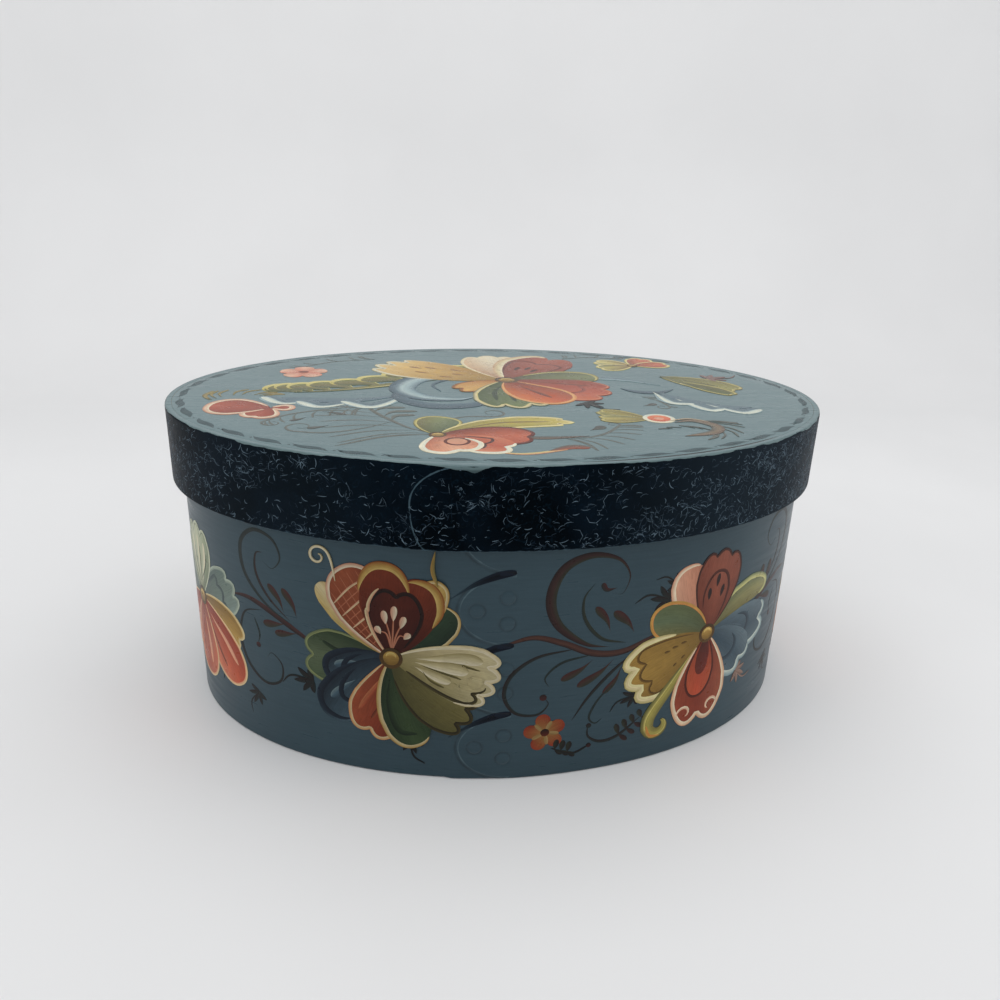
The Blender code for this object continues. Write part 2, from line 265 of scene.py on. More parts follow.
class Finish:
    """A material whose colour, gloss and relief come from noise laid on the wood."""

    def __init__(self, name):
        self.material = bpy.data.materials.new(name)
        self.material.use_nodes = True
        self.nodes = self.material.node_tree.nodes
        self.links = self.material.node_tree.links
        self.shader = self.nodes["Principled BSDF"]
        self.place = self.nodes.new("ShaderNodeTexCoord").outputs["Object"]

    def noise(self, scale, stretch=(1.0, 1.0, 1.0), detail=3.0, rough=0.55, twist=0.0, place=None):
        mapping = self.nodes.new("ShaderNodeMapping")
        mapping.inputs["Scale"].default_value = stretch
        self.links.new(place or self.place, mapping.inputs["Vector"])
        noise = self.nodes.new("ShaderNodeTexNoise")
        noise.inputs["Scale"].default_value = scale
        noise.inputs["Detail"].default_value = detail
        noise.inputs["Roughness"].default_value = rough
        noise.inputs["Distortion"].default_value = twist
        self.links.new(mapping.outputs["Vector"], noise.inputs["Vector"])
        return noise.outputs["Fac"]

    def spread(self, value, low, high, to_low=0.0, to_high=1.0):
        span = self.nodes.new("ShaderNodeMapRange")
        for socket, amount in zip(span.inputs[1:5], (low, high, to_low, to_high)):
            socket.default_value = amount
        self.links.new(value, span.inputs[0])
        return span.outputs["Result"]

    def combine(self, operation, first, second):
        maths = self.nodes.new("ShaderNodeMath")
        maths.operation = operation
        for socket, value in zip(maths.inputs, (first, second)):
            if isinstance(value, (int, float)):
                socket.default_value = value
            else:
                self.links.new(value, socket)
        return maths.outputs["Value"]

    def blend(self, factor, first, second, kind="MIX"):
        mix = self.nodes.new("ShaderNodeMix")
        mix.data_type = "RGBA"
        mix.blend_type = kind
        if isinstance(factor, float):
            mix.inputs["Factor"].default_value = factor
        else:
            self.links.new(factor, mix.inputs["Factor"])
        for socket, value in ((mix.inputs[6], first), (mix.inputs[7], second)):
            if isinstance(value, bpy.types.NodeSocket):
                self.links.new(value, socket)
            else:
                socket.default_value = (*value, 1.0)
        return mix.outputs[2]

    def attribute(self, name, output):
        found = self.nodes.new("ShaderNodeAttribute")
        found.attribute_name = name
        return found.outputs[output]

    def colour(self, value):
        self.links.new(value, self.shader.inputs["Base Color"])

    def gloss(self, value, low, high):
        self.links.new(self.spread(value, 0.3, 0.7, low, high), self.shader.inputs["Roughness"])

    def relief(self, layers):
        """Bumps in metres of height, each a (value, height) pair."""
        below = None
        for value, height in layers:
            bump = self.nodes.new("ShaderNodeBump")
            bump.inputs["Strength"].default_value = 1.0
            bump.inputs["Distance"].default_value = height
            self.links.new(value, bump.inputs["Height"])
            if below is not None:
                self.links.new(below, bump.inputs["Normal"])
            below = bump.outputs["Normal"]
        self.links.new(below, self.shader.inputs["Normal"])


def slate_paint(name, stretch, base, pale, worn_and_highlight_tone, gloss, index, waviness):
    """Slate blue paint, paler along edges (wear, painted highlight) and darker in hollows (painted shade,
    grime).
    """
    finish = Finish(name)
    clouds = finish.noise(16.0, detail=4.0)
    streaks = finish.noise(70.0, stretch=stretch, detail=5.0, rough=0.6, twist=0.3)
    specks = finish.noise(900.0, detail=2.0)
    mixed = finish.combine("ADD", finish.combine("MULTIPLY", streaks, 0.55),
                           finish.combine("MULTIPLY", clouds, 0.45))
    tone = finish.blend(finish.spread(mixed, 0.36, 0.66), base, pale)
    tone = finish.blend(finish.spread(specks, 0.62, 0.8, 0.0, 0.08), tone, worn_and_highlight_tone)
    rubbed = finish.noise(260.0, detail=4.0)
    # Paler along rims and finger edges: wear, with a painted highlight on the raised finger edges.
    edge = finish.attribute("wear_and_highlight", "Fac")
    edge_lightening = finish.spread(finish.combine("ADD", edge, rubbed), 0.95, 1.45, 0.0, 0.6)
    tone = finish.blend(edge_lightening, tone, worn_and_highlight_tone)
    # Darker in the tack dimples and at the foot of each finger's step: painted shade with grime.
    grime_and_shade_patches = finish.spread(finish.noise(110.0, detail=3.0), 0.36, 0.62, 0.2, 0.85)
    grime_and_shade = finish.combine("MULTIPLY", finish.attribute("grime_and_shade", "Fac"), grime_and_shade_patches)
    tone = finish.blend(grime_and_shade, tone, tuple(0.4 * np.array(base)))
    finish.colour(tone)
    finish.gloss(finish.noise(40.0, stretch=stretch, detail=3.0), *gloss)
    finish.shader.inputs["IOR"].default_value = index
    finish.relief([(clouds, waviness), (streaks, 0.00002), (specks, 0.00001)])
    return finish.material


def bare_wood(name, stretch, dark, pale):
    """Planed pale hardwood with long straight grain."""
    finish = Finish(name)
    grain = finish.noise(26.0, stretch=stretch, detail=6.0, rough=0.65, twist=0.6)
    pores = finish.noise(240.0, stretch=stretch, detail=3.0)
    clouds = finish.noise(14.0, detail=3.0)
    tone = finish.blend(finish.spread(grain, 0.34, 0.68), dark, pale)
    tone = finish.blend(finish.spread(pores, 0.58, 0.75, 0.0, 0.35), tone, dark)
    tone = finish.blend(finish.spread(clouds, 0.35, 0.7, 0.0, 0.25), tone, pale)
    finish.colour(tone)
    finish.gloss(grain, 0.48, 0.62)
    finish.relief([(grain, 0.0001), (pores, 0.00005)])
    return finish.material


def set_values(made, name, values):
    stored = made.data.attributes.new(name, "FLOAT", "POINT")
    stored.data.foreach_set("value", np.clip(values, 0.0, 1.0).astype(np.float32).reshape(-1))


body_high = np.array(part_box("body_band")[1]) / MM
body_oval = oval_table(body_high[0], body_high[1])
body_top = body_high[2]
# The body's slate is mixed darker than the same paint on the lid top: painted shade over the whole body
# band.
shaded_body_slate = slate_paint(
    "shaded_body_slate",
    (1.0, 1.0, 14.0),
    linear(40, 60, 69),
    linear(47, 68, 77),
    linear(86, 107, 113),
    BODY_VARNISH,
    BODY_INDEX,
    0.0002,
)
band_wood = bare_wood("band_wood", (1.0, 1.0, 16.0), linear(176, 138, 92), linear(214, 182, 134))
body_lap_root = BODY_LAP_TIP + FINGER_LENGTH
body_arcs = arcs_round(
    body_oval, BODY_LAP_TIP - LAP_MARGIN, body_lap_root + LAP_MARGIN, BODY_FINE_STEP, LONG_STEP
)
body_band, body_points, body_slots = band_mesh(
    "painted_body_band", body_oval, body_arcs, 0.0, body_top, BODY_ROW_STEP, body_face
)
body_band.data.materials.append(shaded_body_slate)
body_band.data.materials.append(band_wood)
body_heights = body_points[..., 2] / MM
rim_distance = np.minimum(body_heights, body_top - body_heights)
rim_wear = RIM_WEAR_AND_EDGE_HIGHLIGHT * np.exp(-np.maximum(rim_distance, 0.0) / 0.6)
body_spread = body_arcs + 0.0 * body_heights
from_edge = within_fingers(body_spread, body_heights)
at_fingers = np.abs(body_arcs - BODY_LAP_TIP - FINGER_LENGTH / 2) < FINGER_LENGTH / 2 + 2
# Paler along the fingers' edges: wear, with a painted highlight on the raised edges.
edge_wear_and_highlight = RIM_WEAR_AND_EDGE_HIGHLIGHT * np.exp(-(((from_edge - 0.5) / 0.45) ** 2)) * at_fingers
# Darker just outside the fingers' edges and in the tack dimples: painted shade with grime.
grime_and_shade = FINGER_GRIME_AND_SHADE * np.exp(-(((from_edge + 0.7) / 0.5) ** 2)) * at_fingers
for lower, upper in FINGERS:
    rings = tack_rings(body_spread, body_heights, BODY_LAP_TIP, (lower + upper) / 2)
    grime_and_shade = np.maximum(grime_and_shade, TACK_GRIME_AND_SHADE * rings)
set_values(body_band, "wear_and_highlight", np.maximum(rim_wear, edge_wear_and_highlight) * (body_slots == 0))
set_values(body_band, "grime_and_shade", grime_and_shade * (body_slots == 0))
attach(body_band, "box")
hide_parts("body_band")

# Bottom board
# A flat oval of pale hardwood, fitted inside the foot of the body band and left bare. The frame's
# own board has the right shape, so it only needs its wood.
board_wood = bare_wood("board_wood", (1.0, 14.0, 1.0), linear(168, 130, 86), linear(206, 172, 124))


def give_material(node_names, material):
    for node_name in node_names:
        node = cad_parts[node_name]
        node.data.materials.clear()
        node.data.materials.append(material)


give_material(["bottom_board"], board_wood)

# Pegs
# Split hardwood pegs, driven through each band into the edge of its board and cut off flush. The
# paint hides their outer ends.
peg_wood = bare_wood("peg_grain", (6.0, 6.0, 6.0), linear(120, 82, 48), linear(158, 116, 72))
give_material([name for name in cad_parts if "_peg_" in name], peg_wood)

# Tacks
# Small iron tacks with low round heads, driven through both layers of each lap and clinched on
# the inside. Their heads lie under the paint, and only the clinched ends show, inside the box.
tack_finish = Finish("tack_iron")
tack_grain = tack_finish.noise(1800.0, detail=3.0)
tack_finish.colour(
    tack_finish.blend(
        tack_finish.spread(tack_grain, 0.4, 0.65), linear(74, 62, 52), linear(122, 112, 100)
    )
)
tack_finish.gloss(tack_grain, 0.35, 0.6)
tack_finish.relief([(tack_grain, 0.00004)])
tack_finish.shader.inputs["Metallic"].default_value = 0.8
give_material([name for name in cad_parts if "_tack_" in name], tack_finish.material)

# Lid band
# A second, shorter strip bent round the lid board, with one lopsided round tongue at its lap. Its
# face is painted nearly black, lightened towards both ends by a painted sheen, and its top rim
# slate blue. The rim is level with the board.
LID_LAP_TIP = -45.0
TONGUE_TIP_HEIGHT = 18.2
TONGUE_LOWER_SWEEP = 7.0
TONGUE_UPPER_SWEEP = 22.0
TONGUE_SOFTNESS = 1.2
LID_FINE_STEP = 0.35
LID_ROW_STEP = 0.4
LID_EDGE_ROUNDING = 0.12
LID_VARNISH = (0.25, 0.36)
LID_INDEX = 1.25
RIGHT_PAINTED_SHEEN = 0.85
LEFT_PAINTED_SHEEN = 0.33

lid_low, lid_high = [np.array(corner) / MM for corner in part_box("lid_band")]
lid_oval = oval_table(lid_high[0], lid_high[1])
lid_base = lid_low[2]
lid_top = lid_high[2]


def within_tongue(arcs, heights):
    """How many mm a place lies inside the outline of the tongue, and less than 0 outside it."""
    up = heights - lid_base - TONGUE_TIP_HEIGHT
    sweep = np.where(up < 0, TONGUE_LOWER_SWEEP, TONGUE_UPPER_SWEEP)
    reach = np.where(up < 0, TONGUE_TIP_HEIGHT, lid_top - lid_base - TONGUE_TIP_HEIGHT)
    ahead = np.minimum(arcs - LID_LAP_TIP - sweep, 0.0) / sweep
    inwards = within_end(ahead, up / reach, sweep, reach)
    nearest = np.maximum(arcs - LID_LAP_TIP - TONGUE_UPPER_SWEEP, inwards)
    return np.where((up < 0) & (ahead >= 0), np.maximum(nearest, 1.0), nearest)


def lid_face(arcs, heights):
    """The offset of the painted face of the lid band from its oval."""
    arcs, heights = np.broadcast_arrays(np.asarray(arcs, float), np.asarray(heights, float))
    inside = smooth_step(within_tongue(arcs, heights) / TONGUE_SOFTNESS + 0.5)
    relief = tack_relief(arcs, heights, LID_LAP_TIP, lid_base + TONGUE_TIP_HEIGHT)
    return lap_offset(arcs, LID_LAP_TIP, inside) + relief + PAINT_FILM


def night_paint(name):
    """Nearly black blue paint, dabbed on unevenly, with a blue bloom where it lies thin."""
    finish = Finish(name)
    clouds = finish.noise(38.0, detail=4.0, twist=0.4)
    dabs = finish.noise(420.0, detail=4.0, rough=0.6, twist=1.2)
    tone = finish.blend(finish.spread(clouds, 0.4, 0.68), linear(1, 6, 11), linear(6, 17, 27))
    tone = finish.blend(finish.spread(dabs, 0.56, 0.72, 0.0, 0.4), tone, linear(16, 36, 50))
    # Painted sheen: the band lightened towards both of its ends.
    tone = finish.blend(finish.attribute("painted_sheen", "Fac"), tone, linear(27, 37, 45))
    rubbed = finish.noise(300.0, detail=5.0)
    edge = finish.attribute("wear_and_highlight", "Fac")
    edge_lightening = finish.spread(finish.combine("ADD", edge, rubbed), 0.95, 1.25, 0.0, 0.85)
    tone = finish.blend(edge_lightening, tone, linear(66, 86, 96))
    finish.colour(tone)
    finish.gloss(dabs, 0.27, 0.4)
    finish.shader.inputs["IOR"].default_value = 1.08
    finish.relief([(clouds, 0.00012), (dabs, 0.00005)])
    return finish.material


lid_lap_root = LID_LAP_TIP + TONGUE_UPPER_SWEEP
lid_arcs = arcs_round(
    lid_oval, LID_LAP_TIP - LAP_MARGIN, lid_lap_root + LAP_MARGIN, LID_FINE_STEP, LONG_STEP
)
lid_band, lid_points, lid_slots = band_mesh(
    "painted_lid_band", lid_oval, lid_arcs, lid_base, lid_top, LID_ROW_STEP, lid_face,
    inner_top=LID_EDGE_ROUNDING,
)
lid_slate = slate_paint(
    "lid_slate",
    (1.0, 14.0, 1.0),
    linear(98, 118, 121),
    linear(106, 127, 130),
    linear(130, 148, 149),
    LID_VARNISH,
    LID_INDEX,
    0.00004,
)
lid_night = night_paint("lid_night")
for material in (lid_night, band_wood, lid_slate):
    lid_band.data.materials.append(material)
rim_rows = np.arange(len(lid_points))[:, None]
outer_rows = 1 + round((lid_top - lid_base) / LID_ROW_STEP)
is_rim = (rim_rows > outer_rows) & (rim_rows < outer_rows + 2 * CORNER_STEPS) & (lid_slots == 0)
lid_slots[is_rim] = 2
lid_band.data.polygons.foreach_set("material_index", lid_slots.reshape(-1))
lid_heights = lid_points[..., 2] / MM
from_foot = np.maximum(lid_heights - lid_base, 0.0)
foot_wear = 0.9 * np.exp(-from_foot / 0.9)
tongue_wear = 1.1 * np.exp(-np.abs(within_tongue(lid_arcs + 0.0 * lid_heights, lid_heights)) / 0.35)
tongue_wear *= np.abs(lid_arcs - LID_LAP_TIP - TONGUE_UPPER_SWEEP / 2) < TONGUE_UPPER_SWEEP / 2 + 2
set_values(lid_band, "wear_and_highlight", np.maximum(foot_wear, tongue_wear) * (lid_slots == 0))
# Painted sheen, strong towards the right end and weaker towards the left.
along = lid_points[..., 0] / MM
painted_sheen = RIGHT_PAINTED_SHEEN * smooth_step((along - 10.0) / 80.0) + LEFT_PAINTED_SHEEN * smooth_step((-along - 40.0) / 50.0)
set_values(lid_band, "painted_sheen", painted_sheen)
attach(lid_band, "lid")
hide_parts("lid_band")

# Lid board
# The flat oval top, pegged inside the lid band with its face level with the band's rim, so that
# only a hairline shows between them. Slate blue above, bare wood below.
BOARD_THICKNESS = 6.0
BOARD_GAP = 0.04
BOARD_SIDES = 260
BOARD_RINGS = 14


def board_mesh(name):
    """An oval board as rings: rounded top edge, flat top, square foot and flat underside."""
    arcs = lid_oval["perimeter"] * np.arange(BOARD_SIDES) / BOARD_SIDES
    side = INNER_FACE - BOARD_GAP
    low = lid_top - BOARD_THICKNESS
    rings = [on_oval(lid_oval, arcs, side, height) for height in (low, lid_top - LID_EDGE_ROUNDING)]
    for turn in np.linspace(0.0, math.pi / 2, CORNER_STEPS + 1)[1:]:
        inset = side - LID_EDGE_ROUNDING * (1 - math.cos(turn))
        height = lid_top - LID_EDGE_ROUNDING * (1 - math.sin(turn))
        rings.append(on_oval(lid_oval, arcs, inset, height))
    edge = rings[-1]
    for share in np.linspace(1.0, 0.0, BOARD_RINGS + 1)[1:-1]:
        ring = edge * share
        ring[:, 2] = lid_top * MM
        rings.append(ring)
    index = np.arange(len(rings) * BOARD_SIDES).reshape(len(rings), BOARD_SIDES)
    after = np.roll(index, -1, axis=1)
    faces = np.stack([index[:-1], after[:-1], after[1:], index[1:]], axis=-1).reshape(-1, 4).tolist()
    faces += [index[-1].tolist(), index[0, ::-1].tolist()]
    made = smooth_object(name, np.concatenate(rings).tolist(), faces, 50)
    made.data.polygons[len(faces) - 1].material_index = 1
    return made


lid_board = board_mesh("painted_lid_board")
lid_board.data.materials.append(lid_slate)
lid_board.data.materials.append(board_wood)
set_values(lid_board, "wear_and_highlight", np.zeros(len(lid_board.data.vertices)))
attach(lid_board, "lid")
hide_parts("lid_board")

# Vine round the body
# Maroon-brown stems brushed round the body in long curves, with fine scrolls and small two-tone
# leaves. Each brush stroke is a thin closed skin of paint that follows the wood under it.
PAINT_SINK = 0.08
HAIR_SHIFT = 0.37
MAROON = (54, 36, 34)
DEEP_MAROON = (36, 27, 27)
BROWN_GREEN = (46, 50, 40)
STEM_GREEN = (34, 43, 42)
WINE = (64, 33, 33)


def smooth_line(points, spacing):
    """A smooth line through the given points, sampled closer together towards its ends."""
    points = np.asarray(points, float)
    if len(points) == 2:
        points = np.stack([points[0], points.mean(axis=0), points[1]])
    padded = np.concatenate([[2 * points[0] - points[1]], points, [2 * points[-1] - points[-2]]])
    share = np.linspace(0.0, 1.0, 17)[:-1, None]
    pieces = []
    for a, b, c, d in zip(padded, padded[1:], padded[2:], padded[3:]):
        curve = 2 * b + (c - a) * share + (2 * a - 5 * b + 4 * c - d) * share**2
        pieces.append((curve + (3 * b - a - 3 * c + d) * share**3) / 2)
    pieces.append(points[-1:])
    dense = np.concatenate(pieces)
    lengths = np.concatenate([[0.0], np.cumsum(np.hypot(*np.diff(dense, axis=0).T))])
    count = max(6, round(lengths[-1] / spacing))
    even = np.linspace(0.0, 1.0, count + 1)
    at = lengths[-1] * (even - np.sin(2 * math.pi * even) * 0.9 / (2 * math.pi))
    return np.stack([np.interp(at, lengths, dense[:, axis]) for axis in (0, 1)], axis=1), at


def swelling(share, start, end):
    """A stroke's width along it: small powers give blunt ends and large ones long tapers."""
    share = np.clip(share, 0.003, 0.997)
    peak = start / (start + end)
    return (share**start * (1 - share) ** end) / (peak**start * (1 - peak) ** end)


def mixed(tones, share):
    """Colours blended from the first of the tones, where the share is 0, to the last, at 1."""
    tones = np.array([linear(*tone) for tone in tones])
    places = np.linspace(0.0, 1.0, len(tones))
    return np.stack([np.interp(share, places, tones[:, part]) for part in range(3)], axis=-1)


class Painting:
    """Brush strokes laid one over another on one face of the box, as one piece.

    Each skin lies rise mm over the one before it, and a depth under 1 darkens all of the colours.
    A stepped painting lies across the lap, where the wood below has steps.
    """

    def __init__(self, name, place, step=1.0, lift=0.02, rise=0.0015, depth=1.0, stepped=False):
        self.name = name
        self.place = place
        self.step = step
        self.lift = lift
        self.rise = rise
        self.depth = depth
        self.stepped = stepped
        self.points = []
        self.faces = []
        self.colours = []
        self.brush = []
        self.count = 0

    def lay(self, grid, colours, brush, solid=False):
        """Adds a skin from a grid of places: rows along it, columns from its left to its right.

        A solid skin has as fine a grid underneath, for places where the wood below is stepped.
        """
        brush = brush.reshape(-1, 2) + self.count * HAIR_SHIFT
        rows, columns = grid.shape[:2]
        index = np.arange(rows * columns).reshape(rows, columns)
        under = index
        kept = np.ones(rows * columns, bool)
        if not solid:
            edge = np.zeros((rows, columns), bool)
            edge[[0, -1]] = True
            edge[:, [0, -1]] = True
            under = np.zeros((rows, columns), int)
            under[edge] = np.arange(edge.sum())
            kept = edge.reshape(-1)
        low = self.count + rows * columns + under
        index = self.count + index
        top = self.place(*grid.reshape(-1, 2).T, self.lift)
        foot = self.place(*grid.reshape(-1, 2)[kept].T, -PAINT_SINK)
        quads = [
            (index[:-1, :-1], index[:-1, 1:], index[1:, 1:], index[1:, :-1]),
            (index[:-1, 0], index[1:, 0], low[1:, 0], low[:-1, 0]),
            (index[:-1, -1], low[:-1, -1], low[1:, -1], index[1:, -1]),
            (index[0, :-1], low[0, :-1], low[0, 1:], index[0, 1:]),
            (index[-1, :-1], index[-1, 1:], low[-1, 1:], low[-1, :-1]),
        ]
        if solid:
            quads.append((low[:-1, :-1], low[1:, :-1], low[1:, 1:], low[:-1, 1:]))
        else:
            quads.append((low[:-1, 0], low[1:, 0], low[1:, -1], low[:-1, -1]))
            for rim in (low[0, ::-1], low[-1]):
                for step in range((columns - 1) // 2):
                    face = [rim[step], rim[step + 1], rim[-2 - step], rim[-1 - step]]
                    self.faces.append([int(corner) for corner in dict.fromkeys(face)])
        for quad in quads:
            self.faces += np.stack(quad, axis=-1).reshape(-1, 4).tolist()
        self.points += [top, foot]
        self.colours += [colours.reshape(-1, 3), colours.reshape(-1, 3)[kept]]
        self.brush += [brush, brush[kept]]
        self.count += rows * columns + int(kept.sum())
        self.lift += self.rise

    def stroke(self, points, width, tones, start=0.5, end=1.0, tail=None):
        """One brush stroke along a smooth line, with tones from its left side to its right."""
        line, at = smooth_line(points, min(self.step, 0.9))
        share = at / at[-1]
        along = np.gradient(line, axis=0)
        along /= np.maximum(np.hypot(*along.T), 1e-9)[:, None]
        aside = np.stack([-along[:, 1], along[:, 0]], axis=1)
        half = width / 2 * swelling(share, start, end)
        columns = 3 if width < 2.2 else 3 + 2 * math.ceil(width / 4)
        columns = max(columns, 1 + 2 * math.ceil(width / self.step / 3))
        across = np.linspace(1.0, -1.0, columns)
        grid = line[:, None] + aside[:, None] * (half[:, None] * across)[..., None]
        colours = np.repeat(mixed(tones, (1 - across) / 2)[None], len(line), axis=0)
        if tail is not None:
            fade = smooth_step((share - 0.35) / 0.65)[:, None, None]
            colours = colours + (linear(*tail) - colours) * fade
        brush = np.stack(np.broadcast_arrays(at[:, None], half[:, None] * across), axis=-1)
        self.lay(grid, colours, brush)

    def dot(self, place, radius, tones):
        """A round touch of the brush."""
        ends = [(place[0] - radius, place[1]), (place[0] + radius, place[1])]
        self.stroke(ends, 2 * radius, tones, 0.5, 0.5)

    def finish(self, material, body, slot):
        made = smooth_object(self.name, np.concatenate(self.points).tolist(), self.faces, 40)
        tones = np.concatenate(self.colours) * self.depth
        tones = np.concatenate([tones, np.ones((len(tones), 1))], axis=1)
        colour = made.data.color_attributes.new("pigment", "FLOAT_COLOR", "POINT")
        colour.data.foreach_set("color", tones.astype(np.float32).reshape(-1))
        brush = np.concatenate(self.brush)
        brush = np.concatenate([brush, np.zeros((len(brush), 1))], axis=1)
        hairs = made.data.attributes.new("brush", "FLOAT_VECTOR", "POINT")
        hairs.data.foreach_set("vector", brush.astype(np.float32).reshape(-1))
        made.data.materials.append(material)
        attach(made, body)


def brushed_paint(name, gloss, index):
    """Artists' colour, streaked along each stroke by the hairs of the brush, under varnish."""
    finish = Finish(name)
    place = finish.attribute("brush", "Vector")
    hairs = finish.noise(1.0, stretch=(0.12, 2.2, 1.0), detail=4.0, rough=0.6, place=place)
    patches = finish.noise(220.0, detail=3.0)
    pigment = finish.attribute("pigment", "Color")
    darker = finish.blend(1.0, pigment, (0.78, 0.76, 0.74), "MULTIPLY")
    tone = finish.blend(finish.spread(hairs, 0.36, 0.62), darker, pigment)
    lighter = finish.blend(1.0, pigment, (1.2, 1.18, 1.14), "MULTIPLY")
    tone = finish.blend(finish.spread(patches, 0.5, 0.75, 0.0, 0.5), tone, lighter)
    finish.colour(tone)
    finish.gloss(patches, *gloss)
    finish.shader.inputs["IOR"].default_value = index
    finish.relief([(hairs, 0.00003), (patches, 0.00002)])
    return finish.material


def on_body(arcs, heights, lift):
    return on_oval(body_oval, arcs, body_face(arcs, heights) + lift, heights)


def leaflet(painting, tip, root, width, tones=(WINE, BROWN_GREEN)):
    """A small teardrop leaf, heavy at its tip and drawn out into its stalk."""
    bow = 0.1 * math.dist(tip, root)
    middle = ((tip[0] + root[0]) / 2 + bow, (tip[1] + root[1]) / 2)
    painting.stroke([tip, middle, root], width, tones, start=0.55, end=1.7)


def sprig(painting, place, turn, size, tones=(DEEP_MAROON, STEM_GREEN)):
    """Pointed dark leaves fanned out from one point, with a fine curled tail beyond them."""
    def off(angle, reach):
        return np.array([math.cos(math.radians(angle)), math.sin(math.radians(angle))]) * reach

    place = np.array(place, float)
    tail = place + off(turn - 10, size * 1.2)
    painting.stroke([place, tail, tail + off(turn + 34, size * 0.8)], size * 0.1, tones, 0.6, 0.6)
    for lean, reach in ((-84, 0.72), (80, 0.66), (-42, 0.98), (38, 0.9), (0, 1.1)):
        tip = place + off(turn + lean, size * reach)
        middle = place + off(turn + lean * 0.86, size * reach * 0.55)
        painting.stroke([tip, middle, place], size * 0.27, tones, 0.85, 1.0)


def spiral(centre, radius, first, turns, closing=0.25):
    """Places along a spiral that winds in from its first angle in degrees."""
    count = 4 + int(8 * abs(turns))
    places = []
    for share in np.linspace(0.0, 1.0, count):
        angle = math.radians(first + 360 * turns * share)
        reach = radius * (1 + (closing - 1) * share)
        places.append((centre[0] + reach * math.cos(angle), centre[1] + reach * math.sin(angle)))
    return places


def placed_from(start, flip=1):
    """A maker of places on the body from a vine's own, mirrored where flip is -1."""
    def at(*places):
        return [(start + flip * x, z) for x, z in places]

    return at


def leaflets(painting, at, leaves):
    """Small leaves, each a (tip, root, width)."""
    for tip, root, width in leaves:
        leaflet(painting, *at(tip, root), width)


def long_vine(painting, start):
    """The wide gap's stem: an S, with a heavy scroll over it and thin ones with leaves below."""
    at = placed_from(start)
    painting.stroke(at((-4, 64), (8, 67), (20, 63.5), (33, 57.6), (46, 56.6), (60, 61.5)),
                    3.0, (MAROON, (76, 50, 42), DEEP_MAROON), 0.5, 0.35)
    painting.stroke(at((40, 59.5), (29, 62.5), (17.5, 72), (14, 84), (18.5, 96), (29, 101),
                       (40.5, 98.6), (46, 91), (43.6, 83.4), (38.8, 84.2)),
                    4.3, (DEEP_MAROON, MAROON, BROWN_GREEN), 1.3, 2.0)
    painting.stroke(at((47, 60.5), (36, 64), (28.6, 73), (27.4, 82.5), (31.5, 89)),
                    1.6, (STEM_GREEN, BROWN_GREEN), 0.9, 1.1)
    leaflets(painting, at, (((32.6, 78.4), (39.6, 66.4), 3.3), ((40.5, 75.4), (50.5, 64.4), 3.9)))
    painting.stroke(at((34.6, 88.6), (36.6, 85.6), (41, 86)), 2.3, (WINE, STEM_GREEN), 0.4, 1.5)
    painting.stroke(at((25, 60.5), (10, 58), (0, 50.5), (-3, 41), (1.6, 32.6), (10.5, 31),
                       (15.2, 35.6), (12.6, 39.6)), 1.7, (STEM_GREEN, DEEP_MAROON), 0.8, 0.9)
    painting.dot(at((13, 39))[0], 1.5, (DEEP_MAROON, WINE))
    painting.stroke(at((32, 57), (20, 54.6), (13.5, 48.4), (15.4, 43.4)), 1.1,
                    (STEM_GREEN, STEM_GREEN), 0.8, 0.9)
    leaflets(painting, at, (((20, 46.4), (33, 54.6), 3.3), ((27, 42.6), (42, 53.4), 3.5),
                            ((38.6, 37.6), (46, 49.6), 2.8)))
    painting.stroke(at((56, 57.4), (44, 49.6), (33, 38), (25.6, 26.4)), 1.5,
                    (STEM_GREEN, DEEP_MAROON), 1.0, 0.9)
    painting.stroke(at((43, 42), (36.4, 34.6), (33.2, 27), (36, 23.6), (39, 25.4)), 1.0,
                    (STEM_GREEN, STEM_GREEN), 0.9, 0.8)
    painting.stroke(at((33, 23.4), (33.4, 17.6), (39, 14), (47, 15.4), (57, 22.6)), 1.5,
                    (DEEP_MAROON, STEM_GREEN), 0.8, 0.8)
    painting.dot(at((33.4, 22.8))[0], 1.2, (DEEP_MAROON, STEM_GREEN))
    for step in range(4):
        root = (47.5 + 3.4 * step, 15.8 + 2.2 * step)
        above = at((root[0] - 1.8, root[1] + 5.6 - 0.5 * step), root)
        below = at((root[0] + 4.2, root[1] - 3.6 + 0.5 * step), root)
        painting.stroke(above, 2.5, (DEEP_MAROON, BROWN_GREEN), 0.6, 1.0)
        painting.stroke(below, 2.3, (MAROON, DEEP_MAROON), 0.6, 1.0)


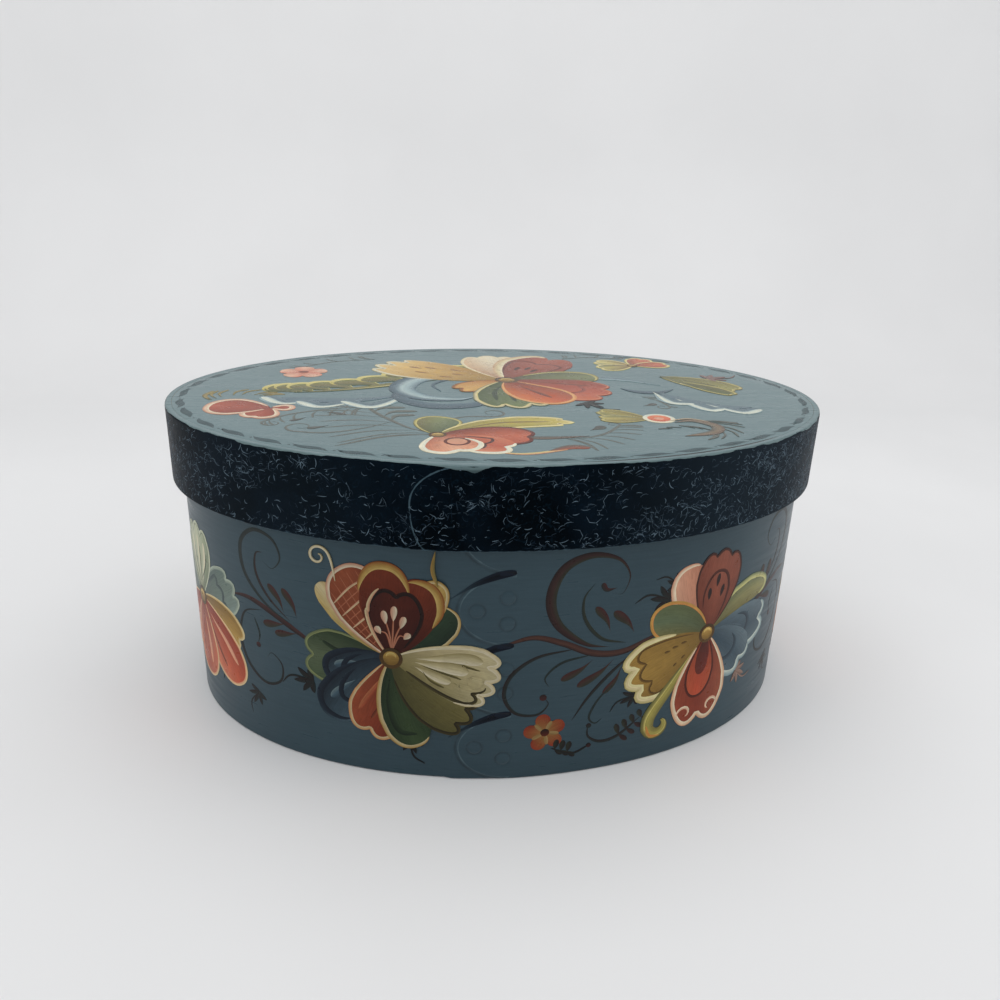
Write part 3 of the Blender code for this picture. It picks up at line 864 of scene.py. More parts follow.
def short_vine(painting, start, flip):
    """The narrower gap's stem, with one scroll above it, one below and paired leaves."""
    at = placed_from(start, flip)
    painting.stroke(at((-2, 56), (8, 61), (20, 66.5), (32, 69.6), (44, 68)),
                    2.7, (DEEP_MAROON, MAROON, (66, 38, 36)), 0.6, 0.8)
    painting.stroke(at((8, 62.5), (22, 69.5), (32.6, 81), (33.6, 94), (26, 101.4), (16.4, 99.6),
                       (12.8, 92), (17, 86.4), (21.8, 88.6)), 2.0, (STEM_GREEN, (44, 48, 48)), 1.1, 1.2)
    painting.stroke(at((10, 64.5), (20.4, 73), (26, 82.5), (25.4, 91), (21.6, 92.6)), 1.4,
                    (STEM_GREEN, MAROON), 0.9, 0.7)
    painting.stroke(at((24, 66), (34.6, 62), (38.4, 50), (35, 38), (25.6, 31), (17, 34),
                       (15.4, 42), (20.4, 46.6), (23.6, 43.4)), 1.6, (STEM_GREEN, DEEP_MAROON), 0.9, 1.0)
    leaflets(painting, at, (((13, 78.6), (6.4, 66.4), 3.4), ((20, 79), (12.6, 67.6), 3.2),
                            ((18, 57), (6.6, 59.6), 3.3), ((24, 60), (12, 62.6), 3.5)))
    painting.stroke(at((29, 61), (26.6, 54), (28, 49)), 1.0, (STEM_GREEN, STEM_GREEN), 0.7, 0.9)
    painting.dot(at((27.8, 48.4))[0], 1.3, (WINE, DEEP_MAROON))
    sprig(painting, at((29.5, 24.6))[0], -60 if flip > 0 else -120, 7.5)


brush_paint = brushed_paint("brush_paint", (0.26, 0.4), 1.24)
vine = Painting("vine_front", on_body, step=0.3, lift=0.05)
long_vine(vine, -5.0)
vine.finish(brush_paint, "box", "body_paint")
for place, (start, flip) in {"left": (-87, -1), "right": (106, 1), "far_right": (229, 1),
                             "back": (338, 1), "far_left": (-300, -1), "rear_left": (-192, -1)}.items():
    vine = Painting("vine_" + place, on_body)
    short_vine(vine, start, flip)
    vine.finish(brush_paint, "box", "body_paint")

# Comma strokes
# One thick dark stroke set down at the root of each saw cut between two fingers, and drawn off
# to the lower left, over the fingers' edges.
NIGHT_BLUE = (16, 26, 40)
COMMA = ((-4.8, 0.8), (-11.0, -0.4), (-20.0, -4.2), (-30.0, -11.0))
commas = Painting("finger_commas", on_body, step=0.25, lift=0.12)
for height in FINGER_ROOTS[1:4]:
    places = [(arc, height + aside) for arc, aside in COMMA]
    commas.stroke(places, 3.0, ((8, 18, 32), (3, 8, 17), (12, 24, 40)), 0.3, 1.35, tail=(34, 52, 62))
commas.finish(brush_paint, "box", "body_paint")

# Blossoms round the body
# Seven large blossoms of three kinds, taking turns round the body. Each is a fan of two-tone petals
# about a gold button, most of them with an outline laid on in a finer stroke.
CREAM = (222, 206, 160)
PALE_CREAM = (236, 226, 196)
OCHRE = (182, 146, 76)
DARK_OCHRE = (128, 98, 46)
BRICK = (158, 84, 54)
OXBLOOD = (94, 38, 24)
EMBER = (172, 82, 52)
ROSE = (206, 146, 118)
LEAF_GREEN = (48, 66, 42)
OLIVE = (118, 110, 64)
SAGE = (98, 112, 84)
MIST = (120, 142, 146)
DUSK = (60, 80, 92)
INK = (26, 20, 18)
SOLID_STEP = 0.35
SOLID_RISE = 0.025
LOBE_POWER = 0.7
END_POWER = 2.3
SHOULDER_POWER = 0.85
FOOT_STRENGTH = 0.85
TIP_STRENGTH = 0.7


class Petal:
    """A petal: its places run along it, 0 to 1, and across it, -1 to 1, about a bowed middle."""

    def __init__(self, painting, heart, turn, length, width, lobes=1, notch=0.1, bow=0.0, cap=0.34,
                 belly=0.75, flip=1):
        self.painting = painting
        self.heart = heart
        self.turn = math.radians(turn)
        self.length = length
        self.width = width
        self.lobes = lobes
        self.notch = notch if lobes > 1 else 0.0
        self.bow = math.radians(bow) if bow else 1e-4
        self.cap = cap
        self.belly = belly
        self.flip = flip

    def at(self, along, across):
        along, across = np.broadcast_arrays(np.asarray(along, float), np.asarray(across, float))
        ripple = 1 - np.abs(np.sin(math.pi * self.lobes * (across + 1) / 2)) ** LOBE_POWER
        round_end = 1 - (1 - np.minimum(np.abs(across), 1.0) ** END_POWER) ** (1 / END_POWER)
        out = along * (1 - self.cap * round_end - self.notch * ripple)
        widening = np.sin(math.pi / 2 * np.clip(out / self.belly, 0.0, 1.0)) ** SHOULDER_POWER
        half = self.width / 2 * widening
        first = self.turn - self.bow / 2
        heading = first + self.bow * out
        bend = self.length / self.bow
        x = bend * (np.sin(heading) - math.sin(first)) - half * across * np.sin(heading)
        z = -bend * (np.cos(heading) - math.cos(first)) + half * across * np.cos(heading)
        return np.stack([self.heart[0] + self.flip * x, self.heart[1] + z], axis=-1)

    def edge(self, start, end, inset):
        """Places round the edge, from the foot (-1) over the tip (0) back to the foot (1)."""
        turn = np.linspace(start, end, 24 + 16 * self.lobes)
        across = np.clip(turn / 0.5, -1.0, 1.0) * (1 - inset)
        along = np.clip((1 - np.abs(turn)) / 0.5, 0.04, 1.0) * (1 - inset)
        return self.at(along, across)

    def body(self, tones, foot=None, tip=None, solid=False):
        """The flat of the petal, with tones from its right side to its left, and at both ends."""
        step = SOLID_STEP if solid else max(self.painting.step, 1.0)
        rows = max(10, round(self.length / step))
        columns = max(9 + 8 * self.lobes, round(self.width / step))
        along = np.linspace(0.03, 1.0, rows)[:, None]
        across = np.linspace(1.0, -1.0, columns)[None]
        grid = self.at(along, across)
        if self.flip < 0:
            grid = grid[:, ::-1]
            across = across[:, ::-1]
        colours = mixed(tones, (1 + across + 0.0 * along) / 2)
        if foot is not None:
            colours += (linear(*foot) - colours) * ((1 - along) ** 1.6)[..., None] * FOOT_STRENGTH
        if tip is not None:
            colours += (linear(*tip) - colours) * (along**3)[..., None] * TIP_STRENGTH
        brush = np.stack(np.broadcast_arrays(along * self.length, across * self.width / 2), axis=-1)
        self.painting.lay(grid, colours, brush, solid)
        self.painting.lift += SOLID_RISE * solid

    def line(self, places, width, tones, start=0.5, end=1.2):
        """A stroke inside the petal, through (along, across) places."""
        along, across = np.array(places, float).T
        self.painting.stroke(self.at(along, across), width, tones, start, end)

    def rim(self, width, tones, start=-0.92, end=0.92, inset=0.0, taper=0.35):
        """A stroke round the petal's edge, or inset from it."""
        self.painting.stroke(self.edge(start, end, inset), width, tones, taper, taper)

    def lattice(self, tones, faint):
        """Fine crossed lines over the flat of the petal, every second one of those across it bold."""
        for across in np.linspace(-0.74, 0.74, 6):
            self.line([(0.94, across), (0.5, across), (0.1, across)], 0.45, faint, 0.4, 0.7)
        for step, out in enumerate(np.arange(0.24, 0.84, 0.08)):
            bar = [(1.17 * out - 0.05, 0.88), (out, 0.0), (min(1.17 * out + 0.11, 0.99), -0.88)]
            bold = step % 2
            self.line(bar, 0.85 if bold else 0.5, tones if bold else faint, 0.35, 0.45)


def fan_about(painting, heart, flip=1):
    """Makers of a blossom's petals and of places near its heart, mirrored where flip is -1."""
    def petal(turn, length, width, **shape):
        return Petal(painting, heart, turn, length, width, flip=flip, **shape)

    def near(x, z):
        return heart[0] + flip * x, heart[1] + z

    return petal, near


def button(painting, heart, radius):
    """The gold middle of a blossom, with a dark edge and one light touch."""
    painting.dot(heart, radius, ((70, 50, 28), (94, 70, 38)))
    painting.dot(heart, radius * 0.68, (OCHRE, DARK_OCHRE))
    top = spiral(heart, radius * 0.45, 160, -0.4, 1.0)
    painting.stroke(top, radius * 0.3, ((220, 196, 120), OCHRE), 0.6, 0.6)


def cup_blossom(painting, heart, flip):
    """A blossom with a latticed petal, a dark cup with pale stamens and a pale scalloped leaf."""
    petal, near = fan_about(painting, heart, flip)
    sprig(painting, near(-34, -17), 190, 9)
    sprig(painting, near(7, -37), -70, 7.5)
    sage = petal(186, 38, 26, lobes=2, bow=-16, notch=0.12)
    sage.body((LEAF_GREEN, SAGE, (72, 90, 64)), foot=(36, 50, 38))
    sage.rim(1.3, ((150, 158, 104), SAGE))
    for vein in ([(0.82, 0.7), (0.62, 0.45), (0.3, 0.2)], [(0.8, -0.55), (0.6, -0.3), (0.3, -0.1)]):
        sage.line(vein, 1.8, ((34, 46, 34), LEAF_GREEN), 0.4, 1.3)
    for turn, length, width in ((207, 31, 16), (231, 43, 20)):
        dusk = petal(turn, length, width, bow=34, cap=0.3)
        dusk.body((NIGHT_BLUE, DUSK, (78, 100, 112)), foot=(36, 50, 62))
        dusk.rim(3.0, (NIGHT_BLUE, (34, 48, 62)), start=-0.8, end=0.42, inset=0.05, taper=0.7)
        dusk.line([(0.8, -0.4), (0.68, -0.3), (0.45, -0.1)], 3.4, (MIST, (72, 96, 110), DUSK))
        fold = petal(turn - 2, length * 0.7, width * 0.5, bow=34)
        fold.rim(2.2, (NIGHT_BLUE, (30, 44, 58)), start=-0.62, end=0.5, taper=0.8)
    pine = petal(44, 33.5, 16, bow=22)
    pine.body(((34, 50, 38), (52, 72, 52), LEAF_GREEN), foot=(30, 42, 32), solid=painting.stepped)
    pine.rim(1.3, (CREAM, OCHRE), start=-0.95, end=0.2)
    gold = petal(59, 39.5, 15, bow=-14, cap=0.42)
    gold.body((OCHRE, (206, 174, 100), DARK_OCHRE), foot=(120, 70, 34), solid=painting.stepped)
    for across in (-0.55, -0.1, 0.4):
        gold.line([(0.9, across), (0.6, across * 1.1), (0.2, across)], 1.0, (DARK_OCHRE, (104, 72, 32)))
    gold.rim(1.3, (CREAM, OCHRE), start=-0.8, end=0.5)
    straw = petal(136, 41.5, 12, bow=-10)
    straw.body((OCHRE, CREAM, (206, 178, 104)), foot=DARK_OCHRE)
    net = petal(119, 42, 25, bow=12, cap=0.42)
    net.body(((132, 62, 40), BRICK, (142, 72, 46)), foot=OXBLOOD)
    net.lattice((ROSE, CREAM), ((190, 118, 86), (168, 96, 68)))
    net.rim(1.7, (PALE_CREAM, ROSE), start=-0.8, end=0.96)
    right_crown = petal(70, 37.5, 21, bow=14, cap=0.42)
    left_crown = petal(93, 41.5, 21, bow=-14, cap=0.42)
    for crown, first, last in ((right_crown, -0.62, 0.26), (left_crown, -0.5, 0.5)):
        crown.body(((78, 30, 20), (118, 50, 30), OXBLOOD), foot=(62, 24, 16), tip=(128, 56, 32))
        crown.rim(3.4, ((214, 184, 112), OCHRE, (150, 84, 42)), first, last, inset=0.03, taper=0.7)
    cup = petal(85, 30, 22, lobes=2, notch=0.1, cap=0.3)
    cup.body(((72, 26, 18), (88, 36, 24), (66, 24, 18)), foot=(54, 20, 14))
    cup.rim(1.7, (INK, (50, 22, 16)), start=-0.85, end=0.8)
    cup.rim(1.5, (ROSE, CREAM), start=0.3, end=0.95, inset=-0.05)
    for out, across in ((0.46, -0.75), (0.66, -0.36), (0.84, 0.04), (0.7, 0.42), (0.5, 0.8)):
        stalk = [(out * 0.8, across * 0.8), (0.35, across * 0.4), (0.12, 0.0)]
        cup.line(stalk, 0.7, (ROSE, BRICK), 0.5, 0.6)
        cup.line([(out, across), (out * 0.72, across * 0.8)], 2.7, (PALE_CREAM, ROSE), 0.5, 0.9)
    ember = petal(254, 39, 25, lobes=2, bow=-18, notch=0.1)
    ember.body(((170, 86, 54), (152, 68, 44), (108, 44, 30)), foot=(94, 40, 27))
    ember.line([(0.86, 0.55), (0.6, 0.6), (0.25, 0.3)], 2.2, (OXBLOOD, BRICK), 0.4, 1.1)
    ember.line([(0.84, -0.1), (0.7, -0.02), (0.55, 0.0)], 1.5, (OXBLOOD, BRICK), 0.4, 1.1)
    ember.line([(0.8, -0.6), (0.55, -0.5), (0.2, -0.2)], 2.4, ((186, 112, 74), (164, 74, 48)), 0.5, 1.1)
    ember.rim(1.5, (CREAM, (214, 150, 90)))
    moss = petal(285, 42, 20, bow=26)
    moss.body(((38, 56, 38), (66, 86, 54), LEAF_GREEN), foot=(32, 44, 30))
    moss.line([(0.88, 0.2), (0.8, -0.45), (0.5, -0.5), (0.15, -0.2)], 2.6, ((28, 40, 28), LEAF_GREEN))
    moss.rim(1.9, (CREAM, OCHRE), start=-0.96, end=0.3)
    under = petal(320, 42, 24, lobes=3, bow=24, notch=0.12, cap=0.25)
    under.body(((92, 88, 50), OLIVE, (138, 130, 82)), foot=(72, 70, 42), solid=painting.stepped)
    under.rim(1.5, ((40, 34, 22), (74, 66, 38)), start=-0.85, end=0.6)
    leaf = petal(347, 43, 27, lobes=4, bow=-12, notch=0.11, cap=0.22, belly=0.85)
    leaf.body(((150, 140, 92), (196, 182, 132), CREAM), foot=(126, 116, 70), tip=(206, 196, 156),
              solid=painting.stepped)
    leaf.rim(1.6, ((44, 38, 24), (86, 78, 44)), start=-0.9, end=-0.1, inset=0.08)
    for out, across, width in ((0.86, 0.62, 5.0), (0.72, 0.18, 5.4), (0.6, -0.34, 4.4)):
        ridge = [(out, across), (out * 0.75, across * 0.95), (0.22, across * 0.6)]
        leaf.line(ridge, width, (PALE_CREAM, (206, 194, 150), (160, 148, 100)), 0.45, 1.3)
        groove = [(out * 0.96, across - 0.3), (out * 0.7, across - 0.26), (0.3, across * 0.5 - 0.1)]
        leaf.line(groove, 1.0, ((70, 62, 36), OLIVE))
    leaf.rim(1.7, (PALE_CREAM, CREAM), start=-0.5, end=0.95)
    button(painting, near(0, 0), 4.7)
    tendril = [near(-22.0, 31), near(-23.2, 38)]
    tendril += [near(*place) for place in spiral((-29.0, 40.6), 4.7, 20, 1.15, 0.22)]
    painting.stroke(tendril, 1.0, (PALE_CREAM, CREAM), 0.5, 0.35)
    painting.stroke([near(18.6, 33), near(16.6, 40), near(17.6, 48)], 1.6, (OCHRE, OLIVE), 0.7, 0.9)


def scroll_blossom(painting, heart, flip):
    """A blossom with grey-blue petals on one side and thickly outlined gold ones on the other."""
    petal, near = fan_about(painting, heart, flip)
    sprig(painting, near(-22, 21), 170, 9)
    sprig(painting, near(-18, 26), 150, 7)
    sprig(painting, near(24, -27), -30, 8, ((120, 92, 80), (150, 124, 110)))
    sprig(painting, near(-34, -22), 200, 7)
    sickle = petal(17, 44, 13, bow=-62, cap=0.5)
    sickle.body((OLIVE, (150, 146, 96), SAGE), foot=(84, 84, 56))
    sickle.rim(2.6, ((208, 202, 132), (176, 176, 120), SAGE), start=-0.35, end=0.9)
    for turn, length, width, bow in ((354, 43, 24, 16), (319, 36, 24, -22)):
        mist = petal(turn, length, width, lobes=2, bow=bow, notch=0.12)
        mist.body(((92, 110, 118), DUSK, (102, 120, 128)), foot=(52, 68, 80))
        fold = petal(turn, length * 0.66, 13, bow=bow)
        fold.rim(2.4, ((34, 44, 56), DUSK), start=-0.6, end=0.5, taper=0.7)
        mist.rim(3.0, ((214, 222, 208), (160, 178, 176), MIST), start=-0.88, end=0.35)
    rose = petal(112, 37, 20, bow=-22)
    rose.body(((160, 98, 78), ROSE, (214, 164, 136)), foot=(126, 66, 50))
    rose.rim(2.3, (PALE_CREAM, ROSE), start=-0.25, end=0.92)
    plume = petal(82, 38.5, 26, lobes=3, notch=0.08, cap=0.3)
    plume.body(((124, 66, 50), (150, 86, 66), (112, 58, 44)), foot=(98, 46, 34), tip=(136, 78, 62))
    fold = petal(82, 29, 15, cap=0.5)
    fold.rim(1.5, ((66, 34, 28), (90, 48, 38)), start=-0.8, end=0.6, taper=0.6)
    plume.rim(1.2, ((80, 44, 34), MAROON))
    for out, across in ((0.62, -0.28), (0.72, 0.05), (0.6, 0.36)):
        plume.line([(out, across), (out - 0.16, across)], 2.2, (DEEP_MAROON, MAROON), 0.6, 0.9)
    hood = petal(160, 33, 17, bow=52)
    hood.body(((96, 104, 68), SAGE, OLIVE), foot=(74, 76, 48))
    hood.rim(1.5, ((206, 138, 74), OCHRE), start=-0.9, end=0.55)
    gold = petal(203, 43, 30, lobes=3, notch=0.14, cap=0.3)
    gold.body(((150, 118, 58), (168, 134, 66), DARK_OCHRE), foot=(110, 84, 40))
    gold.rim(1.3, ((70, 48, 26), DARK_OCHRE), start=-0.9, end=0.85, inset=0.17)
    gold.rim(3.4, ((224, 218, 160), CREAM, (176, 164, 104)), start=-0.75, end=0.9, inset=0.03)
    for out, across in ((0.34, -0.42), (0.46, -0.4), (0.58, -0.36), (0.4, 0.3), (0.54, 0.34)):
        gold.line([(out, across), (out - 0.07, across * 0.9)], 1.3, ((70, 48, 26), DARK_OCHRE), 0.5, 0.8)
    for side, width, tones in ((0.0, 6.6, (OLIVE, (168, 158, 82), (96, 96, 56))),
                               (1.6, 1.3, ((214, 200, 116), OLIVE))):
        lane = [near(x - side, z) for x, z in ((-2, -3), (-15, -19), (-25.5, -33), (-27, -40))]
        lane += [near(*place) for place in spiral((-21.5, -39.5), 5.4 + side, 190, 0.62, 0.45)]
        painting.stroke(lane, width, tones, 0.9, 0.55)
    tip = [near(-27.6, -39), near(-25.4, -44.6), near(-20, -45.4)]
    painting.stroke(tip, 1.6, ((206, 128, 64), OCHRE), 0.6, 0.7)
    ruby = petal(270, 45, 31, lobes=2, notch=0.13, cap=0.34)
    ruby.body(((148, 70, 48), (132, 56, 38), (156, 84, 58)), foot=(104, 42, 30))
    drop = petal(266, 31, 16, cap=0.5)
    drop.body((EMBER, (186, 78, 50), EMBER), foot=OXBLOOD)
    drop.rim(1.3, ((62, 28, 22), OXBLOOD))
    kernel = petal(266, 20, 8, cap=0.5)
    kernel.body((OXBLOOD, (112, 44, 34)), foot=DEEP_MAROON)
    ruby.rim(2.2, (PALE_CREAM, (214, 160, 122)), start=-0.88, end=0.94)
    for side in (-1, 1):
        curl = spiral((7.6 * side, -38.5), 4.6, 90 - 100 * side, 0.7 * side, 0.35)
        painting.stroke([near(*place) for place in curl], 1.5, (PALE_CREAM, ROSE), 0.6, 0.6)
    button(painting, near(0, 0), 4.5)


def bell_blossom(painting, heart, flip):
    """A blossom with pale scalloped petals above, salmon ones below and a gold leaf at the side."""
    petal, near = fan_about(painting, heart, flip)
    sprig(painting, near(30, -24), -25, 9)
    sprig(painting, near(-26, -26), 215, 8)
    for turn, length, bow in ((30, 35, 20), (152, 34, -20)):
        pale = petal(turn, length, 23, lobes=3, bow=bow, notch=0.12)
        pale.body(((92, 110, 104), (114, 130, 120), (128, 144, 138)), foot=(66, 82, 78))
        pale.rim(1.6, ((60, 72, 76), (86, 100, 98)), inset=0.3)
        pale.rim(1.7, ((176, 188, 170), (130, 144, 132)))
    crest = petal(90, 35, 26, lobes=3, notch=0.13)
    crest.body(((168, 176, 150), (196, 200, 168), (132, 146, 120)), foot=(84, 96, 72))
    for across in (-0.55, 0.0, 0.55):
        ridge = [(0.84, across), (0.55, across * 0.9), (0.15, across * 0.4)]
        crest.line(ridge, 3.2, (PALE_CREAM, (176, 184, 152)), 0.45, 1.3)
        groove = [(0.74, across + 0.2), (0.5, across * 0.9 + 0.16), (0.2, 0.1)]
        crest.line(groove, 1.0, (LEAF_GREEN, SAGE))
    crest.rim(1.7, ((224, 228, 200), SAGE))
    gold = petal(198, 35, 18, lobes=2, bow=24)
    gold.body((DARK_OCHRE, OCHRE, (206, 174, 100)), foot=(104, 76, 36))
    gold.rim(1.6, (CREAM, OCHRE))
    for turn, bow, tones in ((312, -20, ((214, 128, 96), (196, 92, 62), (150, 62, 42))),
                             (228, 20, ((150, 62, 42), (196, 92, 62), (214, 128, 96))),
                             (270, 0, ((206, 112, 78), EMBER, (206, 112, 78)))):
        salmon = petal(turn, 44 if bow else 40, 24, bow=bow, cap=0.42)
        salmon.body(tones, foot=(118, 46, 32))
        salmon.line([(0.8, 0.4), (0.5, 0.4), (0.2, 0.2)], 1.6, (OXBLOOD, BRICK))
        salmon.line([(0.84, -0.4), (0.55, -0.35), (0.2, -0.1)], 2.6, ((232, 168, 132), ROSE))
        salmon.rim(1.4, (CREAM, (222, 150, 112)))
    button(painting, near(0, 0), 4.6)


HEART_HEIGHT = 56.0
DEPTHS = {cup_blossom: 0.64, scroll_blossom: 0.9, bell_blossom: 0.88}
blossoms = {
    "left": (cup_blossom, -53.0, 1),
    "right": (scroll_blossom, 83.0, 1),
    "right_end": (bell_blossom, 192.0, 1),
    "back_right": (cup_blossom, 301.0, -1),
    "back": (scroll_blossom, -372.0, 1),
    "back_left": (cup_blossom, -264.0, 1),
    "left_end": (bell_blossom, -158.0, -1),
}
for place, (blossom, arc, flip) in blossoms.items():
    at_lap = place == "left"
    step, lift, rise = (0.3, 0.14, 0.004) if at_lap else (0.9, 0.09, 0.003)
    painting = Painting("blossom_" + place, on_body, step, lift, rise, DEPTHS[blossom], at_lap)
    blossom(painting, (arc, HEART_HEIGHT), flip)
    painting.finish(brush_paint, "box", "body_paint")

# Little flowers
# A five-petalled orange flower in the open space right of the lap, and its like at the back, each
# with a few small dark leaves and a thin stalk.
POPPY = (144, 78, 44)
POPPY_RED = (150, 52, 36)


def little_flower(painting, heart, turn):
    """Five orange petals reddening at their tips, with a leafy stalk drawn off to the right."""
    for step in range(5):
        petal = Petal(painting, heart, turn + 72 * step, 9.0, 7.2, cap=0.62, belly=0.58)
        petal.body(((128, 52, 34), POPPY, (150, 98, 54)), foot=(158, 122, 70), tip=POPPY_RED)
    for step in range(5):
        petal = Petal(painting, heart, turn + 36 + 72 * step, 6.0, 2.0, cap=0.5)
        petal.body(((142, 112, 66), (166, 138, 90)))
    painting.dot(heart, 1.9, (INK, OXBLOOD))
    for step in range(3):
        x, z = heart[0] + 4.5 + 2.8 * step, heart[1] - 9.0 - 0.9 * step
        for tip, width in (((x + 1.0, z + 5.0), 2.6), ((x + 3.4, z - 2.6), 2.2)):
            painting.stroke([tip, (x, z)], width, (DEEP_MAROON, BROWN_GREEN), 0.6, 1.0)
    stalk = [(heart[0] + x, heart[1] + z) for x, z in ((3.0, -8.2), (12.0, -12.0), (19.5, -9.0))]
    painting.stroke(stalk, 1.0, (DEEP_MAROON, STEM_GREEN), 0.6, 0.4)
    painting.dot(stalk[-1], 1.1, (DEEP_MAROON, WINE))


for place, arc, height in (("front", 9.5, 22.0), ("back", -318.0, 24.0)):
    painting = Painting("little_flower_" + place, on_body, 0.7, lift=0.12, depth=0.76)
    little_flower(painting, (arc, height), 100.0)
    painting.finish(brush_paint, "box", "body_paint")

# Painting on the lid
# A spray laid lengthwise on the lid: one large blossom behind the middle, a long combed leaf and
# white-edged scrolls to its left, a smaller blossom in front and loose flowers towards the ends.
PALE_BLUE = (150, 174, 178)
MILK = (214, 220, 204)
STEEL_BLUE = (90, 113, 124)
SHADE_BLUE = (104, 124, 131)
DEEP_STEEL = (66, 87, 98)
TAUPE = (84, 87, 81)
PALE_TAUPE = (101, 106, 99)
STRAW = (214, 202, 126)


def on_lid(x, y, lift):
    return np.stack([x, y, lid_top + lift + 0.0 * x], axis=-1) * MM


def comb(painting, points, count, reach, lean, width, tones, edge=None, droop=0.35):
    """Curved strokes combed off one side of a stem, each tucked under the one nearer its root."""
    line, at = smooth_line(points, 1.0)
    for share in np.linspace(0.94, 0.04, count):
        index = int(share * (len(line) - 2))
        heading = math.atan2(*(line[index + 1] - line[index])[::-1])
        long = reach * (1 - 0.55 * share)
        start = line[index]
        knee = heading + math.radians(lean)
        last = heading + math.radians(lean * droop)
        middle = start + 0.55 * long * np.array([math.cos(knee), math.sin(knee)])
        onward = 0.55 * long * np.array([math.cos(last), math.sin(last)])
        end = middle + onward
        if edge:
            out = heading + math.copysign(math.pi / 2, lean)
            aside = 0.14 * width * np.array([math.cos(out), math.sin(out)])
            outer = [end + 0.1 * onward + aside, middle + aside, start]
            painting.stroke(outer, width * 1.2, edge, 0.5, 1.2)
        painting.stroke([end, middle, start], width, tones, 0.55, 1.2)


def curled(points, radius, side):
    """A line whose end winds in as a small spiral, to its left (1) or to its right (-1)."""
    ahead = math.atan2(points[-1][1] - points[-2][1], points[-1][0] - points[-2][0])
    first = ahead - side * math.pi / 2
    centre = (points[-1][0] - radius * math.cos(first), points[-1][1] - radius * math.sin(first))
    return points + spiral(centre, radius, math.degrees(first), 1.1 * side, 0.25)[1:]


def lid_scrolls(painting):
    """Fine grey-brown tendrils, combed out along one side, which lie under all else on the lid."""
    tendrils = (
        ([(-32, -67), (-43, -59), (-51, -47), (-58, -34), (-62, -22)], 2.0, 13, 40, 44, 1.2, 5.0, 1),
        ([(-62, -24), (-78, -29), (-93, -37), (-102, -47)], 1.5, 9, 15, 46, 1.1, 4.5, 1),
        ([(-50, -48), (-62, -58), (-76, -64), (-88, -62)], 1.4, 0, 0, 0, 0, 6.5, -1),
        ([(-40, -62), (-32, -50), (-20, -42), (-8, -42)], 1.3, 0, 0, 0, 0, 6.0, 1),
        ([(16, -73), (25, -73), (35, -67), (43, -56)], 1.6, 11, 19, -46, 1.1, 3.0, 1),
        ([(66, -8), (72, -16), (74, -26)], 1.2, 4, 8, 40, 1.2, 3.5, -1),
        ([(-60, 74), (-82, 67), (-98, 52)], 1.0, 7, 12, -52, 1.0, 5.0, 1),
        ([(44, 77), (60, 82), (76, 78)], 1.0, 6, 10, 50, 1.0, 4.0, 1),
    )
    for points, width, count, reach, lean, fine, radius, side in tendrils:
        if count:
            comb(painting, points, count, reach, lean, fine, (PALE_TAUPE, TAUPE), droop=1.5)
        painting.stroke(curled(points, radius, side), width, (TAUPE, PALE_TAUPE), 0.9, 1.0)
    for tip, root in (((-40, -33), (-54, -40)), ((-41, -39), (-51, -47)), ((-45, -27), (-58, -33)),
                      ((-51, -23), (-61, -26))):
        painting.stroke([tip, ((tip[0] + root[0]) / 2 - 3, (tip[1] + root[1]) / 2 + 3), root], 3.4,
                        (TAUPE, PALE_TAUPE), 0.6, 1.3)
    for tip, root, width in (((-84, -58), (-76, -54), 3.0), ((-70, -38), (-80, -33), 2.6),
                             ((36, -57), (29, -63), 4.6), ((69, -21), (62, -25), 3.6),
                             ((-92, -47), (-86, -42), 2.6)):
        leaflet(painting, tip, root, width, (TAUPE, (70, 70, 66)))


def combed_leaf(painting):
    """The long olive leaf, its broad lobes edged with yellow, and blue-white scrolls beside it."""
    painting.stroke([(-100, -10), (-82, -14), (-64, -13), (-46, -5)], 8.0,
                    (SHADE_BLUE, STEEL_BLUE), 0.5, 0.9)
    for start, knee, end in (((-83, -12), (-98, -17), (-108, -7)), ((-63, -12), (-81, -23), (-92, -15)),
                             ((-38, 6), (-58, -23), (-73, -15))):
        painting.stroke([end, knee, start], 9.0, (SHADE_BLUE, STEEL_BLUE, PALE_BLUE), 0.45, 1.3)
        painting.stroke([(end[0], end[1] - 1), (knee[0], knee[1] - 2.4), (start[0] - 2, start[1] - 4)],
                        4.2, (PALE_BLUE, MILK, MILK), 0.35, 1.3)
    rib = [(6, 38), (-26, 30), (-54, 14), (-78, 4), (-95, 0)]
    comb(painting, rib, 13, 33, -54, 12.0, ((120, 124, 66), OLIVE, (78, 90, 54)), (STRAW, (186, 172, 94)))
    painting.stroke(rib, 6.5, ((84, 94, 60), OLIVE, (120, 120, 66)), 0.8, 1.0)
    painting.stroke([(-28, 27), (-54, 13), (-78, 3)], 1.8, (STRAW, OLIVE), 0.8, 1.0)
    painting.stroke([(-42, 16), (-48, -8), (-34, -24), (-16, -23), (-8, -14)], 8.5,
                    (STEEL_BLUE, DEEP_STEEL), 0.9, 0.5)
    painting.stroke([(2, 38), (-22, 35), (-40, 25), (-46, 6), (-37, -9), (-22, -13), (-13, -9)], 13.0,
                    (STEEL_BLUE, PALE_BLUE, (170, 190, 190), STEEL_BLUE, DEEP_STEEL), 0.9, 0.9)
    painting.stroke([(-4, 31), (-20, 28), (-31, 16), (-28, 2)], 2.0, (DEEP_STEEL, STEEL_BLUE), 0.7, 0.8)


lid_brush_paint = brushed_paint("lid_brush_paint", LID_VARNISH, LID_INDEX)


